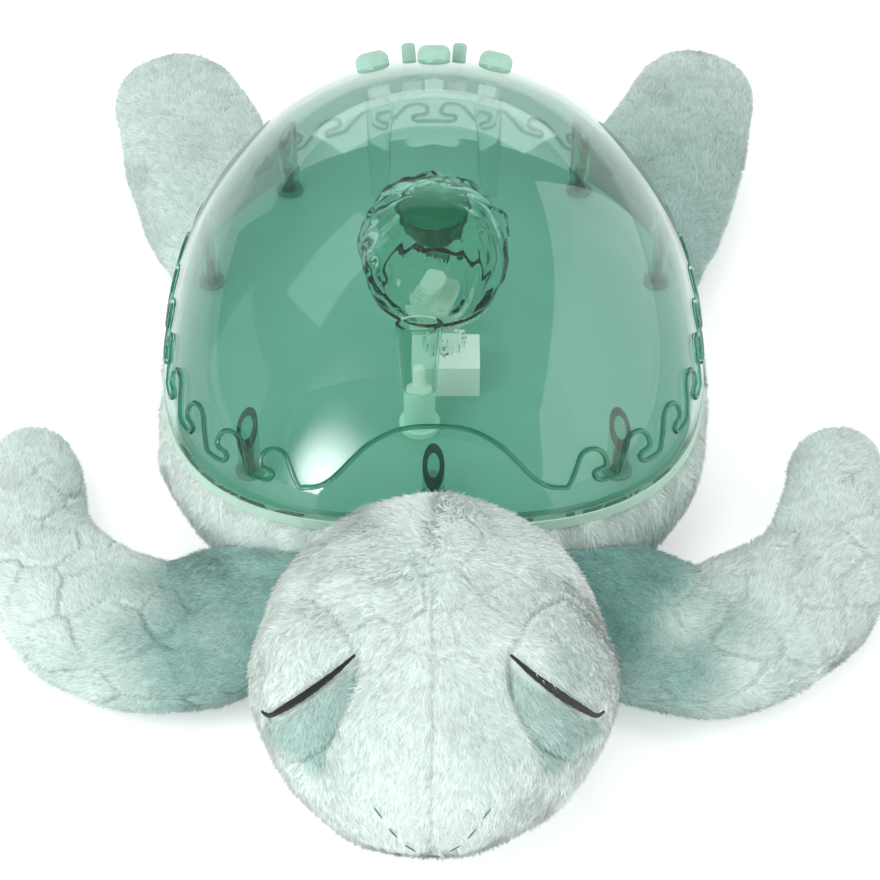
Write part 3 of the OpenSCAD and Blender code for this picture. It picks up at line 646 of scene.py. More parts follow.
shell_skin = dome_wall()
cut_button_holes(shell_skin)
shell_skin.data.shade_smooth()
shell_skin.data.set_sharp_from_angle(angle=math.radians(35))
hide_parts("shell_dome")
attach(shell_skin, "turtle")
print("dome faces:", len(shell_skin.data.polygons))

# %% [markdown]
# ## The wave line
# A raised line runs round the dome: a broad hump at the front and then a row of breaking waves on each side.
# Its path is drawn flat, as a distance along the rim and a height above it, and laid on the dome. Geometry
# Nodes then sweep a small round section along the path, because the line keeps one size all the way round.

# %% Path of the wave line
WAVE_PITCH = 16.25
WAVE_LOW = 11.0
WAVE_HIGH = 22.0
WAVE_STAND = 0.25
HUMP_HIGH = 33.0
HUMP_SHAPE = [
    (0.0, 1.0), (8.0, 0.985), (15.5, 0.91), (23.0, 0.72),
    (28.0, 0.48), (32.5, 0.22), (37.0, 0.06), (43.0, 0.0),
]
HUMP_HALF = HUMP_SHAPE[-1][0]
WAVE_SHAPE = [
    (0.0, 0.02), (1.6, 0.2), (4.0, 0.55), (6.2, 0.87), (8.2, 0.985), (10.0, 1.0),
    (12.2, 0.93), (13.6, 0.75), (13.8, 0.55), (13.3, 0.4), (11.9, 0.345), (10.0, 0.33),
    (9.0, 0.26), (9.2, 0.12), (10.4, 0.02), (12.8, 0.0),
]


def curve_at(points, u):
    points = np.asarray(points, dtype=float)
    last = len(points) - 1
    k = np.minimum(last - 1, np.floor(u * last).astype(int))
    t = (u * last - k)[:, None]
    p0, p1, p2, p3 = [points[np.clip(k + step, 0, last)] for step in (-1, 0, 1, 2)]
    curve = 2 * p1 + (p2 - p0) * t + (2 * p0 - 5 * p1 + 4 * p2 - p3) * t ** 2
    return 0.5 * (curve + (3 * p1 - p0 - 3 * p2 + p3) * t ** 3)


def smooth_path(points, steps):
    return curve_at(points, np.linspace(0, 1, (len(points) - 1) * steps + 1))


def along_line(stops, run, line):
    return np.stack([np.interp(stops, run, line[:, k]) for k in range(3)], axis=-1)


def rim_table():
    angles = np.linspace(-np.pi / 2, np.pi / 2, 1500)
    return angles, run_along(np.stack(rim_xy(angles, 0.0), axis=1))


def on_dome(along, height, stand):
    angles, run = rim_table()
    angle = np.interp(np.abs(along), run, angles)
    angle = np.where(along < 0, np.pi - angle, angle)
    rho = climb_share(np.linspace(0, 80, 160))
    lines = dome_point(angle[:, None], rho[None, :], -stand)
    return np.array([along_line(up, run_along(line), line) for line, up in zip(lines, height)])


def line_height(high, share):
    return WAVE_LOW + (high - WAVE_LOW) * share


def wave_path():
    half_run = rim_table()[1][-1]
    waves = int((half_run - HUMP_HALF) / WAVE_PITCH)
    pitch = (half_run - HUMP_HALF) / waves
    hump = smooth_path([(a, line_height(HUMP_HIGH, h)) for a, h in HUMP_SHAPE], 8)
    wave = []
    for k in range(waves):
        start = HUMP_HALF + k * pitch
        wave += [(start + a * pitch / WAVE_PITCH, line_height(WAVE_HIGH, h)) for a, h in WAVE_SHAPE]
    wave.append((half_run, WAVE_LOW))
    one_side = np.concatenate([hump[:-1], smooth_path(wave, 4)])
    other_side = one_side[:0:-1] * (-1, 1)
    flat = np.concatenate([other_side, one_side])
    return on_dome(flat[:, 0], flat[:, 1], WAVE_STAND), waves


# %% Helpers for Geometry Nodes
def geometry_group(name, inputs):
    group = bpy.data.node_groups.new(name, "GeometryNodeTree")
    sockets(group, "INPUT", {"Geometry": ("Geometry", None), **inputs, "Material": ("Material", None)})
    sockets(group, "OUTPUT", {"Geometry": ("Geometry", None)})
    group.is_modifier = True
    return group, add(group, "NodeGroupInput").outputs


def through(group, geometry, *kinds):
    for kind in kinds:
        geometry = add(group, "GeometryNode" + kind, {"Geometry": geometry}).outputs["Geometry"]
    return geometry


def paint_result(group, given, geometry):
    paint = add(group, "GeometryNodeSetMaterial", {"Geometry": geometry, "Material": given["Material"]})
    add(group, "NodeGroupOutput", {"Geometry": paint.outputs["Geometry"]})


def use_group(piece, group, values):
    modifier = piece.modifiers.new(group.name, "NODES")
    modifier.node_group = group
    for item in group.interface.items_tree:
        if item.item_type == "SOCKET" and item.in_out == "INPUT" and item.name in values:
            modifier[item.identifier] = values[item.name]
    as_plain_mesh(piece)


# %% Sweep the line along its path
def build_swept_line():
    group, given = geometry_group("swept_line", {"Radius": ("Float", 0.0007), "Sides": ("Int", 8)})
    path = add(group, "GeometryNodeMeshToCurve", {"Mesh": given["Geometry"]}).outputs["Curve"]
    section_sizes = {"Resolution": given["Sides"], "Radius": given["Radius"]}
    section = add(group, "GeometryNodeCurvePrimitiveCircle", section_sizes).outputs["Curve"]
    curves = {"Curve": path, "Profile Curve": section, "Fill Caps": True}
    line = add(group, "GeometryNodeCurveToMesh", curves).outputs["Mesh"]
    paint_result(group, given, through(group, line, "SetShadeSmooth", "RealizeInstances"))
    return group


swept_line = build_swept_line()
wave_points, wave_count = wave_path()
wave_mesh = bpy.data.meshes.new("wave_line")
wave_mesh.from_pydata((wave_points * MM).tolist(), [(i, i + 1) for i in range(len(wave_points) - 1)], [])
wave_line = new_object("wave_line", wave_mesh, None)
use_group(wave_line, swept_line, {"Radius": 0.8 * MM, "Sides": 8, "Material": ridge_green})
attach(wave_line, "turtle")
print("waves on each side:", wave_count, "faces:", len(wave_line.data.polygons))

# %% [markdown]
# ## Screw bosses
# Seven tubes hang from the dome and take the screws from below. Each ends on the slanted wall, so its top
# follows the dome's inner skin point by point. Seen through the wall, that end looks almost black, because
# the eye looks along the tube's own plastic, so the top band gets a darker green.

# %% Bosses under the dome
BOSS_ANGLES = (-90, -49, -131, 16, 164, 50, 130)
BOSS_TURNS = 40
BOSS_FOOT = 50.3
BOSS_R = 3.4
BOSS_BORE = 1.9
BOSS_INSET = 9.5
BOSS_BAND = 1.6
BOSS_GAP = 0.15
BOSS_ROWS = [(BOSS_BORE, "foot"), (BOSS_R, "foot"), (BOSS_R, "band"), (BOSS_R, "top"), (BOSS_BORE, "top")]
DARK_ROWS = [0, 0, 1, 1, 0]


def boss_tube(angle):
    x, y = rim_xy(np.radians(angle), -BOSS_INSET)
    ring = turn_angles(BOSS_TURNS)
    rows = []
    for radius, place in BOSS_ROWS:
        px = x + radius * np.cos(ring)
        py = y + radius * np.sin(ring)
        top = dome_z(px, py, SHELL_WALL) - BOSS_GAP
        height = {"foot": np.full(BOSS_TURNS, BOSS_FOOT), "band": top - BOSS_BAND, "top": top}[place]
        rows.append(np.stack([px, py + SHELL_Y, height], axis=1))
    return np.concatenate(rows), grid_faces(len(rows), BOSS_TURNS, wrap_rows=True)


boss_end = moulded("boss_end", (10, 66, 51), (6, 54, 42), 0.2)
boss_tubes = skin("boss_tubes", *joined([boss_tube(angle) for angle in BOSS_ANGLES]), boss_green)
boss_tubes.data.materials.append(boss_end)
dark_faces = np.tile(np.repeat(DARK_ROWS, BOSS_TURNS), len(BOSS_ANGLES))
boss_tubes.data.polygons.foreach_set("material_index", dark_faces.tolist())
boss_tubes.data.set_sharp_from_angle(angle=math.radians(40))
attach(boss_tubes, "turtle")
print("bosses:", len(BOSS_ANGLES))

# %% [markdown]
# ## The rippled lens
# The clear bell that turns over the lamp throws the water pattern. The solid has the same bell with broad
# ripples. This one has the same size and a finer skin, so that its edge wavers as the real one does.

# %% Lens bell
LENS_LOW = 71.0
LENS_H = 38.0
LENS_R = 24.0
LENS_WALL = 2.2
LENS_ROWS = 44
LENS_TURNS = 144
RIPPLE = 1.1
WAIST = 0.45


def bell_share(v):
    foot = 0.86 + 0.14 * np.sin(np.pi / 2 * np.minimum(v, WAIST) / WAIST)
    crown = np.sqrt(np.maximum(0, 1 - ((np.maximum(v, WAIST) - WAIST) / 0.6) ** 2))
    return np.where(v < WAIST, foot, crown)


def bell_rows(inset, wave):
    v = np.linspace(0, 0.985, LENS_ROWS)[:, None]
    a = turn_angles(LENS_TURNS)[None, :]
    r = LENS_R * bell_share(v) - inset
    fade = np.minimum(1, 4 * v)
    broad = np.sin(6 * a) * np.cos(3 * np.pi * v) + 0.5 * np.sin(9 * a)
    fine = 0.35 * np.sin(13 * a + 9 * v) * np.cos(17 * v) + 0.25 * np.sin(21 * a - 14 * v)
    r = r + wave * RIPPLE * fade * (broad + fine)
    z = LENS_LOW + v * (LENS_H - inset) + 0 * a
    return np.stack([r * np.cos(a), r * np.sin(a) + LENS_Y + SHELL_Y, z], axis=-1)


def make_lens():
    inset = LENS_WALL + RIPPLE
    inner = bell_rows(inset, 0.35)[::-1].reshape(-1, 3)
    outer = bell_rows(0.0, 1.0).reshape(-1, 3)
    hubs = [(0, LENS_Y + SHELL_Y, LENS_LOW + LENS_H - inset), (0, LENS_Y + SHELL_Y, LENS_LOW + LENS_H)]
    points = np.concatenate([inner, outer, hubs])
    return skin("lens_bell", points, capped_faces(2 * LENS_ROWS, LENS_TURNS), lens_clear)


lens_bell = make_lens()
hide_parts("ripple_lens")
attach(lens_bell, "lens")
print("lens faces:", len(lens_bell.data.polygons))

# %% Green cup in the lens
CUP_PROFILE = [
    (7.5, 93.5), (8.2, 94.0), (10.5, 98.0), (11.6, 102.5),
    (11.2, 103.6), (10.4, 103.2), (9.6, 99.0), (7.4, 95.0),
]
cup_foot = np.array([0.0, LENS_Y + SHELL_Y, 0.0])
lens_cup = skin("lens_cup", *lathe(cup_foot, np.array([0.0, 0.0, 1.0]), CUP_PROFILE, turns=12), gel_green)
lens_cup.data.set_sharp_from_angle(angle=math.radians(20))
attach(lens_cup, "lens")
print("cup rides with the lens:", lens_cup.name)

# %% [markdown]
# ## Push buttons
# The buttons are soft mint caps with rounded edges. A turned profile gives each its dished top, its rounded
# shoulder and the flange that keeps it in its hole. Every cap rides on its own body, so it can be pressed.

# %% Button caps
FLANGE_OUT = 1.5
FLANGE_LOW = -4.5
FLANGE_HIGH = -3.3


def cap_profile(r, stand):
    edge = 0.55 * r
    profile = [(r + FLANGE_OUT, FLANGE_LOW), (r + FLANGE_OUT, FLANGE_HIGH)]
    profile += [(r, FLANGE_HIGH), (r, stand - edge)]
    for a in np.radians(np.arange(15, 91, 15)):
        profile.append((r - edge + edge * math.cos(a), stand - edge + edge * math.sin(a)))
    return profile + [(0.4 * r, stand), (0.34 * r, stand - 0.06 * r), (0.15 * r, stand - 0.08 * r)]


for name, (x, y, radius, stand) in KEYS.items():
    cap_mesh = lathe(*key_seat(x, y), cap_profile(radius, stand))
    cap = skin(name + "_cap", *cap_mesh, finishes["button_mint"])
    cap.data.set_sharp_from_angle(angle=math.radians(50))
    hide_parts(name)
    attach(cap, name)
print("caps:", ", ".join(KEYS))

# %% Finishes on the solids that stay
own_finish = {node: gear_clear for node in ("lens_gear", "motor_pinion", "key_bracket")}
kept = 0
for part in frame["record"]["subparts"]:
    solid = frame["nodes"].get(part["node"])
    finish = own_finish.get(part["node"], finishes.get(part["material_slot"]))
    if solid is None or finish is None:
        continue
    if not solid.material_slots:
        solid.data.materials.append(finish)
    for place in solid.material_slots:
        place.material = finish
    kept += 1
print("solids with a finish:", kept)

# %% [markdown]
# ## Plush
# The soft pieces are sewn covers filled with fibre. Each one gets a fine skin from a formula, with its seams,
# pressed lines and puckers moved into it, and then a pile of short fibres that grows out of that skin.
# Numbers stored on the skin say how teal a place is, where a seam runs, how thick the pile stands and which
# way it is brushed. The fibres inherit them, so one material serves both. That material also paints shade:
# fibre roots, the bare skin between fibres, seams and pressed lines are coloured darker.

# %% Plush material
# Roots are darker than tips: painted shade deep in the pile.
PALE_SHADED_ROOT = linear(204, 223, 215)
PALE_TIP = linear(231, 241, 236)
TEAL_SHADED_ROOT = linear(82, 138, 130)
TEAL_TIP = linear(131, 182, 174)


def stored_value(tree, name):
    return add(tree, "ShaderNodeAttribute", attribute_name=name).outputs["Fac"]


def plush_material():
    material, tree, shader = new_material("mint_plush", {
        "Roughness": 0.85, "Specular IOR Level": 0.15, "Sheen Weight": 0.25, "Sheen Roughness": 0.5,
    })
    tip = stored_value(tree, "tip")
    pale = mix_colour(tree, tip, PALE_SHADED_ROOT, PALE_TIP)
    teal = mix_colour(tree, tip, TEAL_SHADED_ROOT, TEAL_TIP)
    colour = mix_colour(tree, stored_value(tree, "tint"), pale, teal)
    # Fine noise varies the tone of the pile at random in small flecks; its darker flecks are also painted
    # shade in the gaps between tufts.
    tuft_tone_and_shade = swing(tree, noise(tree, 300, 3), 0.34)
    light = math_node(tree, "ADD", tuft_tone_and_shade, math_node(tree, "MULTIPLY", stored_value(tree, "shade"), 0.2))
    # Seams and pressed scale lines are coloured darker: painted shade in the creases.
    painted_groove_shade = math_node(tree, "MULTIPLY", stored_value(tree, "groove"), -0.36)
    level = math_node(tree, "ADD", math_node(tree, "ADD", light, painted_groove_shade), 1.0)
    feed(tree, shader, {"Base Color": vector_node(tree, "SCALE", colour, level)})
    return material


mint_plush = plush_material()
print("plush material:", mint_plush.name)

# %% Turn a skin and its numbers into a stuffed piece
FLOOR_CLEAR = 0.05
# The bare skin gets a colour part way from the shaded root to the tip, as painted shade between fibres.
SKIN_TIP = 0.4


def store(mesh, name, kind, values):
    field = "vector" if kind == "FLOAT_VECTOR" else "value"
    layer = mesh.attributes.new(name, kind, "POINT")
    layer.data.foreach_set(field, np.ascontiguousarray(values, dtype=np.float32).ravel())


def brushed_way(points, normals, way):
    way = way - normals * (way * normals).sum(axis=1)[:, None]
    way /= np.linalg.norm(way, axis=1)[:, None] + 1e-6
    side = np.cross(normals, way)
    turn = 0.55 * smooth_noise(points, 60, 11) + 0.4 * smooth_noise(points, 22, 12)
    return way * np.cos(turn)[:, None] + side * np.sin(turn)[:, None]


def stuffed(name, node, points, faces, relief, numbers, way):
    mesh = smooth_mesh(name, points, faces, weld=False)
    moved = points + read_vectors(mesh.vertex_normals, "vector").astype(float) * relief[:, None]
    moved[:, 2] = np.maximum(moved[:, 2], FLOOR_CLEAR)
    mesh.vertices.foreach_set("co", (moved * MM).ravel())
    mesh.update()
    normals = read_vectors(mesh.vertex_normals, "vector").astype(float)
    for key, values in numbers.items():
        store(mesh, key, "FLOAT", values)
    store(mesh, "tip", "FLOAT", np.full(len(points), SKIN_TIP))
    store(mesh, "comb", "FLOAT_VECTOR", brushed_way(moved, normals, way))
    store(mesh, "skin_normal", "FLOAT_VECTOR", normals)
    piece = new_object(name, mesh, mint_plush)
    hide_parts(node)
    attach(piece, "turtle")
    return piece


# %% [markdown]
# ## The pile
# Fibres repeat by the hundred thousand, so Geometry Nodes scatter them: points on the skin where the pile
# stands, a thin three-sided spike on each, leaned the way it is brushed with some disorder. Three faces are
# enough because a fibre is only a pixel wide. Tips that would go through the floor are lifted. Real fibres
# let light through, so these take the skin's normals and throw no shadow.

# %% Helpers for scattered things
def named_value(tree, name, kind="FLOAT"):
    return add(tree, "GeometryNodeInputNamedAttribute", {"Name": name}, data_type=kind).outputs["Attribute"]


def random_value(tree, kind, low, high, seed):
    low_key, high_key, out_key = {"FLOAT": (2, 3, 1), "FLOAT_VECTOR": (0, 1, 0)}[kind]
    inputs = {low_key: low, high_key: high, "Seed": seed}
    return add(tree, "FunctionNodeRandomValue", inputs, data_type=kind).outputs[out_key]


def store_node(tree, geometry, name, kind, value):
    inputs = {"Geometry": geometry, "Name": name, "Value": value}
    node = add(tree, "GeometryNodeStoreNamedAttribute", inputs, data_type=kind, domain="POINT")
    return node.outputs["Geometry"]


def combine(tree, x, y, z):
    return add(tree, "ShaderNodeCombineXYZ", {"X": x, "Y": y, "Z": z}).outputs[0]


def laid_on_points(tree, points, shape, way, size):
    turn = add(tree, "FunctionNodeAlignRotationToVector", {"Vector": way}, axis="Z").outputs["Rotation"]
    inputs = {"Points": points, "Instance": shape, "Rotation": turn, "Scale": size}
    return add(tree, "GeometryNodeInstanceOnPoints", inputs).outputs["Instances"]


# %% Node tree of the pile
FIBRE_FLOOR = 0.0003


def build_pile():
    group, given = geometry_group("short_pile", {
        "Fibres per square metre": ("Float", 1.0e6),
        "Fibre length": ("Float", 0.004),
        "Fibre radius": ("Float", 0.0002),
        "Stand": ("Float", 0.6),
        "Disorder": ("Float", 0.35),
        "Seed": ("Int", 1),
    })
    density = math_node(group, "MULTIPLY", given["Fibres per square metre"], named_value(group, "pile"))
    spread = {"Mesh": given["Geometry"], "Density": density, "Seed": given["Seed"]}
    scatter = add(group, "GeometryNodeDistributePointsOnFaces", spread).outputs
    points = store_node(group, scatter["Points"], "skin_normal", "FLOAT_VECTOR", scatter["Normal"])
    points = store_node(group, points, "shade", "FLOAT", random_value(group, "FLOAT", -1.0, 1.0, 3))
    upright = vector_node(group, "SCALE", named_value(group, "skin_normal", "FLOAT_VECTOR"), given["Stand"])
    any_way = random_value(group, "FLOAT_VECTOR", (-1, -1, -1), (1, 1, 1), 4)
    jitter = vector_node(group, "SCALE", any_way, given["Disorder"])
    lean = vector_node(group, "ADD", upright, named_value(group, "comb", "FLOAT_VECTOR"))
    lean = vector_node(group, "ADD", lean, jitter)
    flat_part = math_node(group, "MULTIPLY", named_value(group, "groove"), -0.7)
    full_part = math_node(group, "ADD", flat_part, random_value(group, "FLOAT", 0.7, 1.25, 5))
    length = math_node(group, "MULTIPLY", full_part, given["Fibre length"])
    spike_sizes = {"Vertices": 3, "Radius Top": 0, "Radius Bottom": given["Fibre radius"], "Depth": 1}
    spike = add(group, "GeometryNodeMeshCone", spike_sizes, fill_type="NONE").outputs["Mesh"]
    position = add(group, "GeometryNodeInputPosition").outputs["Position"]
    parts = add(group, "ShaderNodeSeparateXYZ", {0: position}).outputs
    fibre = store_node(group, spike, "tip", "FLOAT", parts["Z"])
    fibres = laid_on_points(group, points, fibre, lean, combine(group, 1, 1, length))
    above_floor = math_node(group, "MAXIMUM", parts["Z"], FIBRE_FLOOR)
    keep_up = add(group, "GeometryNodeSetPosition", {
        "Geometry": through(group, fibres, "RealizeInstances"),
        "Position": combine(group, parts["X"], parts["Y"], above_floor),
    })
    paint_result(group, given, keep_up.outputs["Geometry"])
    return group


# %% Grow the pile on a skin
BAKE_SPAN = 0.5
FIBRE_RADIUS = 0.22
FIBRE_STAND = 0.42
FIBRE_DISORDER = 0.4
short_pile = build_pile()


def flat_bake_map(mesh):
    flat = read_vectors(mesh.vertices, "co")[:, :2] / BAKE_SPAN + 0.5
    corners = np.empty(len(mesh.loops), dtype=np.int32)
    mesh.loops.foreach_get("vertex_index", corners)
    layer = mesh.uv_layers.new(name="OFBake")
    layer.data.foreach_set("uv", flat[corners].astype(np.float32).ravel())


def grow_pile(skin_piece, per_mm, length, seed):
    pile = new_object(skin_piece.name + "_pile", skin_piece.data.copy(), None)
    use_group(pile, short_pile, {
        "Fibres per square metre": per_mm * 1e6,
        "Fibre length": length * MM,
        "Fibre radius": FIBRE_RADIUS * MM,
        "Stand": FIBRE_STAND,
        "Disorder": FIBRE_DISORDER,
        "Seed": seed,
        "Material": mint_plush,
    })
    pile.visible_shadow = False
    skin_normals = read_vectors(pile.data.attributes["skin_normal"].data, "vector")
    pile.data.normals_split_custom_set_from_vertices(skin_normals.tolist())
    flat_bake_map(pile.data)
    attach(pile, "turtle")
    print(pile.name, "triangles:", len(pile.data.polygons))


# %% [markdown]
# ## The body
# The body is a stuffed ring that the hard module sits in. Its section is a closed loop: a bulging outside, a
# flat top under the lip, the inside of the pocket and the belly. The cloth is gathered where it is clamped
# under the lip, so puckers run down from there.

# %% Body ring
BODY_TURNS = 430
BODY_ROWS = 34
BODY_SWELL = 4.0
BELLY_TUCK = 10.0
LIP_TUCK = 2.0
BODY_CLEAR = 0.6
LIP_CLEAR = 1.2


def body_grow(u):
    return BODY_SWELL * np.sin(np.pi * u) - BELLY_TUCK * (1 - u) ** 2 - LIP_TUCK * u ** 8


def body_section():
    u = np.linspace(0, 1, BODY_ROWS)
    outside = np.stack([body_grow(u), u * BODY_TOP], axis=1)
    top = np.stack([np.linspace(body_grow(1.0), -TUB_INSET, 9)[1:], np.full(8, BODY_TOP)], axis=1)
    pocket = np.stack([np.full(5, -TUB_INSET), np.linspace(BODY_TOP, FLOOR_CLEAR, 6)[1:]], axis=1)
    belly = np.stack([np.linspace(-TUB_INSET, body_grow(0.0), 5)[1:-1], np.full(3, FLOOR_CLEAR)], axis=1)
    return np.concatenate([outside, top, pocket, belly])


def make_body():
    section = body_section()
    x, y = rim_xy(turn_angles(BODY_TURNS)[None, :], section[:, :1])
    z = np.broadcast_to(section[:, 1:], x.shape)
    points = np.stack([x, y + SHELL_Y, z], axis=-1).reshape(-1, 3)
    row = np.repeat(np.arange(len(section)), BODY_TURNS)
    outside = row < BODY_ROWS
    u = np.where(outside, row / (BODY_ROWS - 1), 0)
    edge = np.stack([points[:, 0], points[:, 1], 0 * u], axis=1)
    gather = soft_step(0.45, 0.95, u)
    relief = np.where(outside, 0.9 * gather * smooth_noise(edge, 13, 21), 0)
    relief += np.where(outside, 1.1 * np.sin(np.pi * u) * smooth_noise(points, 46, 22), 0)
    thin_out = np.where(outside, soft_step(0.0, 0.06, u), 0)
    teal_share = np.clip(0.10 + 0.22 * (1 - u) + 0.06 * smooth_noise(points, 50, 23), 0, 1)
    numbers = {"tint": teal_share, "groove": 0 * u, "pile": thin_out}
    down = np.tile([0.25, 0.0, -1.0], (len(points), 1))
    faces = grid_faces(len(section), BODY_TURNS, wrap_rows=True)
    return stuffed("body_cover", "plush_body", points, faces, relief, numbers, down)


grow_pile(make_body(), per_mm=2.3, length=2.8, seed=31)

# %% [markdown]
# ## Scales pressed into the cloth
# Irregular scales are pressed into the flippers and, more faintly, into the crown of the head. Their lines
# are the places as near to one scale's middle as to the next one's, a common way to draw cracks and cells.
# The plush material colours the lines darker, as painted shade in the pressed creases.

# %% Lines between scales
GROOVE_DEPTH = 1.5


def scale_lines(along, across, size, seed):
    rng = np.random.default_rng(seed)
    rows = int(along.max() / size[0]) + 4
    cols = int((across.max() - across.min()) / size[1]) + 5
    shift = rng.uniform(-0.24, 0.24, (rows, cols, 2))
    a = along / size[0] + 1.5
    b = (across - across.min()) / size[1] + 2
    first = np.full(len(a), 99.0)
    second = np.full(len(a), 99.0)
    for da in (-1, 0, 1):
        for db in (-1, 0, 1):
            i = np.clip(np.floor(a).astype(int) + da, 0, rows - 1)
            j = np.clip(np.floor(b).astype(int) + db, 0, cols - 1)
            along_far = (i + 0.5 + shift[i, j, 0] - a) * size[0]
            across_far = (j + 0.5 + shift[i, j, 1] + 0.5 * (i % 2) - b) * size[1]
            far = np.hypot(along_far, across_far)
            second = np.where(far < first, first, np.minimum(second, far))
            first = np.minimum(first, far)
    return 1 - soft_step(0.45, 1.9, second - first)


# %% [markdown]
# ## The head
# The head starts from an even ball of triangles, which has no pinched poles for the pile to show. Directions
# from its middle are the map: two eyelid mounds swell out of it, an oval seam runs round each eye, one seam
# runs over the crown, and the back is pressed flat where the head is sewn to the body.

# %% Head formulas
HEAD_Y = -138.0
HEAD_Z = 42.5
HEAD_HALF_W = 52.0
HEAD_FRONT = 56.0
HEAD_REAR = 60.0
HEAD_HALF_H = 43.0
LID_RISE = 0.05
LID_REACH = 24
EYE_AIM = unit(np.array([0.72, -0.3, 0.3]))
EYE_LINE = [(46.0, 56.0), (49.2, 46.5), (53.9, 35.0), (58.6, 25.0), (61.5, 20.0), (65.0, 17.8)]
EYE_PATCH = [
    (97.4, 42.8), (80.8, 55.3), (57.0, 57.8), (44.1, 53.7), (37.6, 43.4), (37.4, 30.3), (40.8, 22.0),
    (49.0, 11.0), (61.0, 4.0), (76.0, 3.0), (89.0, 10.0), (97.0, 26.0), (97.4, 42.8),
]
CROWN_SEAM = [(0.0, rise) for rise in range(-25, 91, 5)]
MOUTH = [(-19.6, 13.8), (-15.0, 7.0), (-8.7, -5.0), (0.0, -15.0), (8.7, -5.0), (15.0, 7.0), (19.6, 13.8)]


def way_of(turn_rise):
    turn, rise = np.radians(np.asarray(turn_rise, dtype=float)).T
    return np.stack([np.cos(rise) * np.sin(turn), -np.cos(rise) * np.cos(turn), np.sin(rise)], axis=1)


def folded_over(d):
    return np.stack([np.abs(d[:, 0]), d[:, 1], d[:, 2]], axis=1)


def head_surface(d, gap=0.0):
    s = 1 + LID_RISE * np.exp(-(np.degrees(angle_to(folded_over(d), EYE_AIM)) / LID_REACH) ** 2)
    length = np.where(d[:, 1] < 0, HEAD_FRONT, HEAD_REAR)
    x = (HEAD_HALF_W * s + gap) * d[:, 0]
    y = HEAD_Y + (length * s + gap) * d[:, 1]
    z = np.maximum(0, HEAD_Z + (HEAD_HALF_H * s + gap) * d[:, 2])
    return np.stack([x, y + SHELL_Y, z], axis=1)


def face_path(turn_rise, steps=14):
    return unit(smooth_path(way_of(turn_rise), steps))


def nearest_on_path(d, path, block=40):
    gap = np.full(len(d), 9.0)
    for start in range(0, len(path), block):
        gap = np.minimum(gap, angle_to(d, path[start:start + block].T).min(axis=1))
    return np.degrees(gap)


# %% Head skin
# Teal spray on the left cheek and the right lid; the third spot, beside the nose on the right, is painted
# shade.
TEAL_AND_SHADE_SPOTS = [((-35.0, 18.0), 12.0, 0.04), ((64.0, 39.0), 9.0, 0.26), ((27.0, 34.0), 10.0, 0.16)]
LID_SWELL = 1.7
PATCH_SEAM = 0.7
CROWN_SEAM_PRESS = 0.4
CROWN_SCALES = (13.0, 15.0)


def inside_patch(folded):
    side = unit(np.cross(EYE_AIM, (0, 0, 1)))
    up = np.cross(side, EYE_AIM)
    edge = face_path(EYE_PATCH)
    edge_turn = np.arctan2(edge @ up, edge @ side)
    order = np.argsort(edge_turn)
    edge_far = angle_to(edge, EYE_AIM)
    turn = np.arctan2(folded @ up, folded @ side)
    return angle_to(folded, EYE_AIM) < np.interp(turn, edge_turn[order], edge_far[order], period=2 * np.pi)


def front_of_body(x, z):
    u = np.clip(z / BODY_TOP, 0, 1)
    grow = np.where(z > BODY_TOP - 2, LIP_CLEAR, body_grow(u) + BODY_CLEAR)
    across = np.clip(np.abs(x) / (SHELL_HALF_W + grow), 0, 1)
    return SHELL_Y - (SHELL_FRONT + grow) * (1 - across ** FRONT_SQUARE) ** (1 / FRONT_SQUARE)


def head_teal_and_shade(d, points, turn, rise):
    line_rise, line_turn = np.array([(r, t) for t, r in EYE_LINE[::-1]]).T
    below_lid = soft_step(0, 5, np.interp(rise, line_rise, line_turn) - turn) * soft_step(0, 3, turn - 36)
    below_lid = below_lid * soft_step(8, 18, rise) * (1 - soft_step(50, 56, rise))
    cheek = soft_step(40, 10, points[:, 2]) * 0.08
    teal_share = 0.03 + cheek + 0.5 * below_lid + 0.06 * smooth_noise(points, 40, 41)
    for spot, reach, depth in TEAL_AND_SHADE_SPOTS:
        away = np.degrees(angle_to(d, way_of([spot])[0]))
        teal_share = teal_share + depth * np.exp(-(away / reach) ** 2)
    return np.clip(teal_share, 0, 1)


